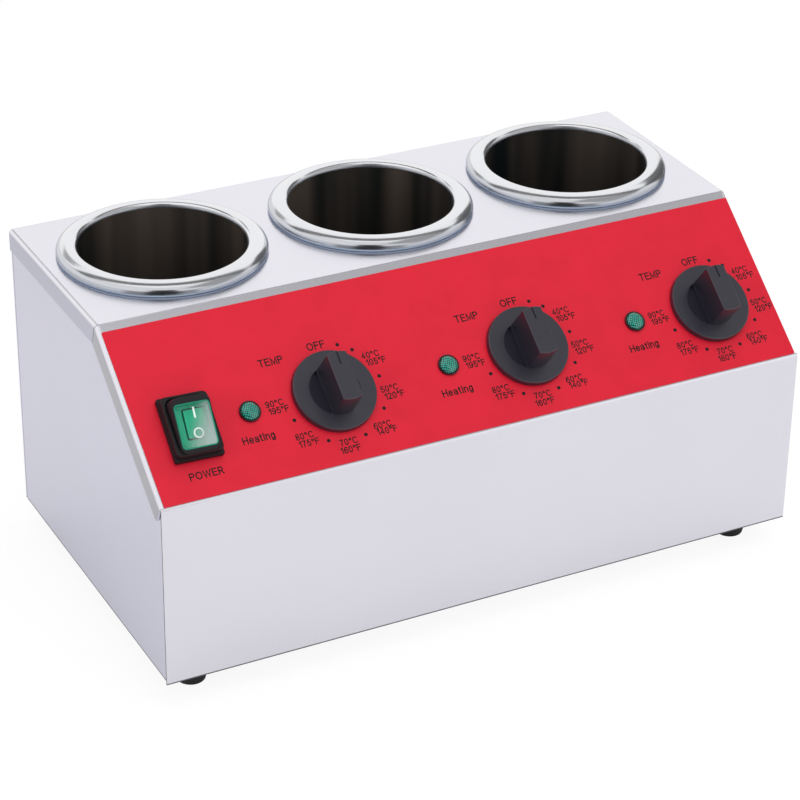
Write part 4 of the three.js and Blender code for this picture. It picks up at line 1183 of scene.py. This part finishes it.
def rocker_mesh(wedge):
    """The rocker, up to its lens. Its stem doesn't share the wedge of its face."""
    back = wedge.inverted()
    stem = rounded_loops(in_metres(KEY_STEM), KEY_STEPS)
    loops = [[back @ point for point in loop] for loop in stem]
    loops += rounded_loops(in_metres(KEY_BODY), KEY_STEPS)
    loops += rounded_loops(in_metres(KEY_LENS), KEY_STEPS, LENS_X, LENS_Y)
    key = loft("key", loops)
    # The groove's faces take a darker green: painted shade.
    mark_faces(key, in_moat, 1)
    return key


def rocker_marks():
    """The bar and ring printed on the rocker's lens."""
    low = LENS_TOP * MM
    high = low + PRINT_HEIGHT
    bar = plate("bar", rounded_rectangle(*BAR, LENS_X, BAR_Y), low, high)
    outer, inner = (circle(radius, LOOP_STEPS, LENS_X, LOOP_Y) for radius in LOOP_RADII)
    return merged("marks", [bar, plate("ring", outer, low, high, [inner])])


def make_rocker():
    wedge = Matrix.Rotation(KEY_WEDGE, 4, "X")
    rest = PANEL @ Matrix.Translation(PIVOT) @ SWITCH_TURN @ Matrix.Rotation(REST_TILT, 4, "X")
    place = rest @ wedge
    piece("rocker_key", rocker_mesh(wedge), "rocker", ["rocker_green", "rocker_groove_painted_shade"],
          ["switch_rocker"], place)
    piece("rocker_print", rocker_marks(), "rocker", ["white_ink"], (), place,
          weighted=False)


# The boot keeps its shape up to its fixed height, and from its moving height on it leans as the
# rocker leans at rest.
BOOT_FIXED = 6.0 * MM
BOOT_MOVING = 11.4 * MM
BOOT_FOOT = 5.0 * MM
BOOT_CROWN = 13.2 * MM
BOOT_WIDTH = 23.2 * MM
BOOT_LENGTH = 32.2 * MM
BOOT_CORNER = 4.2 * MM
BOOT_ROUND = 0.8 * MM
BOOT_SKIN = 0.7 * MM
BOOT_WALL_STEPS = 16
BOOT_ROUND_STEPS = 8
BOOT_CORNER_STEPS = 8
WINDOW_HALF_WIDTH = 10.7 * MM
WINDOW_HALF_LENGTH = 12.9 * MM
WINDOW_MIDDLE = -0.7 * MM
WINDOW_EDGE = 0.7 * MM
WINDOW_CORNER = 2.4 * MM


def boot_loops(inset):
    """Loops of one skin of the boot from its foot to its window, drawn in by an inset."""
    width, length, corner = BOOT_WIDTH - 2 * inset, BOOT_LENGTH - 2 * inset, BOOT_CORNER - inset
    crown, turn = BOOT_CROWN - inset / 3, BOOT_ROUND - inset / 2
    walls, window = [], []
    for i in range(BOOT_WALL_STEPS + 1):
        level = BOOT_FOOT + (crown - BOOT_FOOT) * i / BOOT_WALL_STEPS
        walls.append((width, length, corner, level))
    for x, level in arc(0, crown, turn, 0, 90, BOOT_ROUND_STEPS)[1:]:
        drawn = turn - x
        walls.append((width - 2 * drawn, length - 2 * drawn, corner - drawn, level))
    for edge in (0, WINDOW_EDGE):
        across, along = 2 * (WINDOW_HALF_WIDTH - edge), 2 * (WINDOW_HALF_LENGTH - edge)
        window.append((across, along, WINDOW_CORNER - edge, crown + turn))
    loops = rounded_loops(walls, BOOT_CORNER_STEPS)
    return loops + rounded_loops(window, BOOT_CORNER_STEPS, 0, WINDOW_MIDDLE)


def on_window_edge(polygon):
    """Faces of the strip round the window."""
    x, y, height = polygon.center
    across = max(0.0, abs(x) - WINDOW_HALF_WIDTH + WINDOW_CORNER)
    along = max(0.0, abs(y - WINDOW_MIDDLE) - WINDOW_HALF_LENGTH + WINDOW_CORNER)
    return math.hypot(across, along) < WINDOW_CORNER and height > BOOT_CROWN


def boot_part(polygon):
    """A material index: the clear pane, the green strip round it or the black wall."""
    if len(polygon.vertices) > 4 and abs(polygon.normal.z) > NEARLY:
        return 0
    return 1 if on_window_edge(polygon) else 2


def lean_with_rocker(mesh):
    """Leans the boot over with the rocker, as far as each height follows the rocker."""
    pivot = Vector((0, 0, PIVOT.z))
    for vertex in mesh.vertices:
        share = (vertex.co.z - BOOT_FIXED) / (BOOT_MOVING - BOOT_FIXED)
        lean = (REST_TILT + KEY_WEDGE) * min(1.0, max(0.0, share))
        vertex.co = Matrix.Rotation(lean, 3, "X") @ (vertex.co - pivot) + pivot


def make_boot(place):
    boot = loft("boot", boot_loops(BOOT_SKIN)[::-1] + boot_loops(0))
    for polygon in boot.polygons:
        polygon.material_index = boot_part(polygon)
    lean_with_rocker(boot)
    made = piece("boot_cap", boot, None, ["clear_boot", "boot_edge", "black_plastic"],
                 ["switch_boot"], place, 60)
    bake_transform(made)


# Feet

# A foot is hollow from below up to its bore's top, with a smaller hole above for its screw.
FOOT_RADIUS = 8.7 * MM
FOOT_LOW_EDGE = 1.2 * MM
FOOT_TOP_EDGE = 0.8 * MM
FOOT_BORE = 5.5 * MM
FOOT_BORE_TOP = 8 * MM
FOOT_CHAMFER = 0.5 * MM
FOOT_SCREW_HOLE = 2.4 * MM
FOOT_STEPS = 64
FOOT_LOW_STEPS, FOOT_TOP_STEPS = 6, 5


def foot_mesh(radius, height):
    profile = [(FOOT_BORE, FOOT_BORE_TOP), (FOOT_BORE, FOOT_CHAMFER), (FOOT_BORE + FOOT_CHAMFER, 0)]
    low, top = FOOT_LOW_EDGE, FOOT_TOP_EDGE
    profile += arc(FOOT_RADIUS - low, low, low, -90, 0, FOOT_LOW_STEPS)
    profile += arc(radius - top, height - top, top, 0, 90, FOOT_TOP_STEPS)
    profile += [(FOOT_SCREW_HOLE, height), (FOOT_SCREW_HOLE, FOOT_BORE_TOP)]
    return lathe("foot", profile, FOOT_STEPS, closed=True)


def make_feet():
    for name in ("front_left", "front_right", "back_left", "back_right"):
        low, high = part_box(f"foot_{name}")
        centre = (low + high) / 2
        foot = foot_mesh(high.x - centre.x, high.z)
        place = Matrix.Translation((centre.x, centre.y, 0))
        piece(f"rubber_foot_{name}", foot, "case", ["rubber"], [f"foot_{name}"],
              place)


make_case()
make_wells()
make_panel()
make_knobs()
make_lamps()
make_switch()
make_feet()

# Plain finishes for the CAD nodes that stay, by how their names start. The last match counts.

NODE_FINISHES = {
    "rear_panel": "case_steel",
    "base_plate": "galvanised",
    "band_heater": "galvanised",
    "clamp_screw": "screw_steel",
    "foot_screw": "screw_steel",
    "rear_screw": "screw_steel",
    "terminal_screw": "screw_steel",
    "thermostat": "galvanised",
    "thermostat_nut": "brass",
    "thermostat_spindle": "screw_steel",
    "capillary": "copper",
    "lamp_body": "black_plastic",
    "gland": "nylon",
    "terminal_block": "ceramic",
    "supply_lead": "rubber",
}
for node_name, node in frame["nodes"].items():
    for start, look in NODE_FINISHES.items():
        if node_name.startswith(start):
            node.data.materials.clear()
            node.data.materials.append(LOOKS[look])


# Floor, light and camera

FLOOR_SIZE = 8.0
FLOOR_GLOW = 1.06
FLOOR_GLOW_CAMERA = 0.85
FLOOR_GLOW_SHINY = 0.2
WORLD_LIGHT = 0.42
# Area lights: name, place, target, size and power in watts.
LIGHTS = (
    ("overhead", (0.3, -0.2, 1.6), (0, 0, 0.1), (2.2, 2.0), 17),
    ("front_fill", (-0.2, -1.8, 0.9), (0, 0, 0.1), (1.4, 1.0), 6),
    ("left_fill", (-1.6, -0.6, 0.9), (0, 0, 0.1), (1.0, 1.0), 5),
)
# Cards that only shiny surfaces show: name, place, target, size and brightness.
CARDS = (
    ("overhead_card", (0.56, -0.42, 1.2), (0, 0, 0.15), (0.95, 0.95), 0.47),
    ("front_card", (-0.74, -1.42, 1.8), (0, 0, 1.8), (1.0, 3.5), 0.03),
    ("front_grey", (-0.77, -1.47, 0.75), (0, 0, 0.75), (2.6, 1.5), 0.4),
    ("far_grey", (0.27, 0.50, 1.5), (0, 0, 0.15), (3.0, 0.5), 0.2),
    ("back_dark", (-0.255, 1.32, 0.98), (-0.21, 0.05, 0.2), (0.40, 0.36), 0.4),
    ("right_dark", (1.5, 0.6, 0.7), (0, 0, 0.3), (0.9, 1.2), 0.15),
    ("right_front_white", (0.74, -1.42, 0.5), (0, 0, 0.5), (0.9, 1.0), 1.0),
)


def stage_sheet(name, width, height, material):
    """A flat sheet of the studio, which isn't part of the object."""
    x, y = width / 2, height / 2
    mesh = bpy.data.meshes.new(name)
    mesh.from_pydata([(-x, -y, 0), (x, -y, 0), (x, y, 0), (-x, y, 0)], [], [(0, 1, 2, 3)])
    mesh.materials.append(material)
    obj = placed(name, mesh)
    return obj


def make_floor():
    """A white floor that keeps the object's shadow and looks as bright as the background."""
    look = Look("floor_white", (0.86, 0.86, 0.87), 0.9)
    rays = look.node("LightPath").outputs
    shiny = look.math("MULTIPLY", rays["Is Glossy Ray"], FLOOR_GLOW_SHINY)
    share = look.math("MULTIPLY_ADD", rays["Is Camera Ray"], FLOOR_GLOW_CAMERA, shiny)
    look.show(look.mixed(share, look.shader.outputs["BSDF"], look.glow(FLOOR_GLOW)))
    stage_sheet("floor", FLOOR_SIZE, FLOOR_SIZE, look.material)


def make_world():
    """Even light, which the camera and shiny and see-through surfaces see as full white."""
    world = bpy.data.worlds.new("studio")
    bpy.context.scene.world = world
    tree = Tree(world)
    rays = tree.node("LightPath").outputs
    seen = tree.math("MAXIMUM", rays["Is Camera Ray"], rays["Is Transmission Ray"])
    seen = tree.math("MAXIMUM", seen, rays["Is Glossy Ray"])
    strength = tree.node("Mix", Factor=seen, A=WORLD_LIGHT, B=1.0).outputs["Result"]
    background = tree.nodes["Background"]
    tree.fill(background.inputs["Color"], (1, 1, 1, 1))
    tree.fill(background.inputs["Strength"], strength)


def aim(obj, place, target):
    obj.location = place
    obj.rotation_euler = (Vector(target) - Vector(place)).to_track_quat("-Z", "Y").to_euler()


def area_light(name, place, target, size, power):
    data = bpy.data.lights.new(name, "AREA")
    data.shape = "RECTANGLE"
    data.size, data.size_y = size
    data.energy = power
    light = placed(name, data)
    light.visible_glossy = False
    aim(light, place, target)


def reflected_card(name, place, target, size, strength):
    material = bpy.data.materials.new(name)
    tree = Tree(material)
    tree.show(tree.glow(strength))
    card = stage_sheet(name, *size, material)
    card.visible_camera = False
    card.visible_diffuse = False
    card.visible_shadow = False
    aim(card, place, target)


# The camera was fitted to the case's corners in the photograph, in lengths of the case.
CASE_LENGTH = 2 * HALF_LENGTH
CAMERA_PLACE = (-1.66521, -2.90878, 2.18003)
CAMERA_RIGHT = Vector((0.88998846, -0.45581501, 0.01237801))
CAMERA_DOWN = Vector((-0.21177022, -0.43722177, -0.8740655))
CAMERA_FORWARD = Vector((0.40382411, 0.77528691, -0.48565038))
FOCAL_PIXELS = 2791.7
IMAGE_PIXELS = 800
SENSOR_MM = 36


def make_camera():
    data = bpy.data.cameras.new("camera")
    data.sensor_width = SENSOR_MM
    data.lens = FOCAL_PIXELS * SENSOR_MM / IMAGE_PIXELS
    data.clip_end = 20
    camera = placed("camera", data)
    place = CASE @ (Vector(CAMERA_PLACE) * CASE_LENGTH)
    turn = Matrix((CAMERA_RIGHT, -CAMERA_DOWN, -CAMERA_FORWARD)).transposed()
    camera.matrix_world = Matrix.Translation(place) @ turn.to_4x4()
    bpy.context.scene.camera = camera


make_floor()
make_world()
for row in LIGHTS:
    area_light(*row)
for row in CARDS:
    reflected_card(*row)
make_camera()
bpy.context.scene.view_settings.view_transform = "Standard"
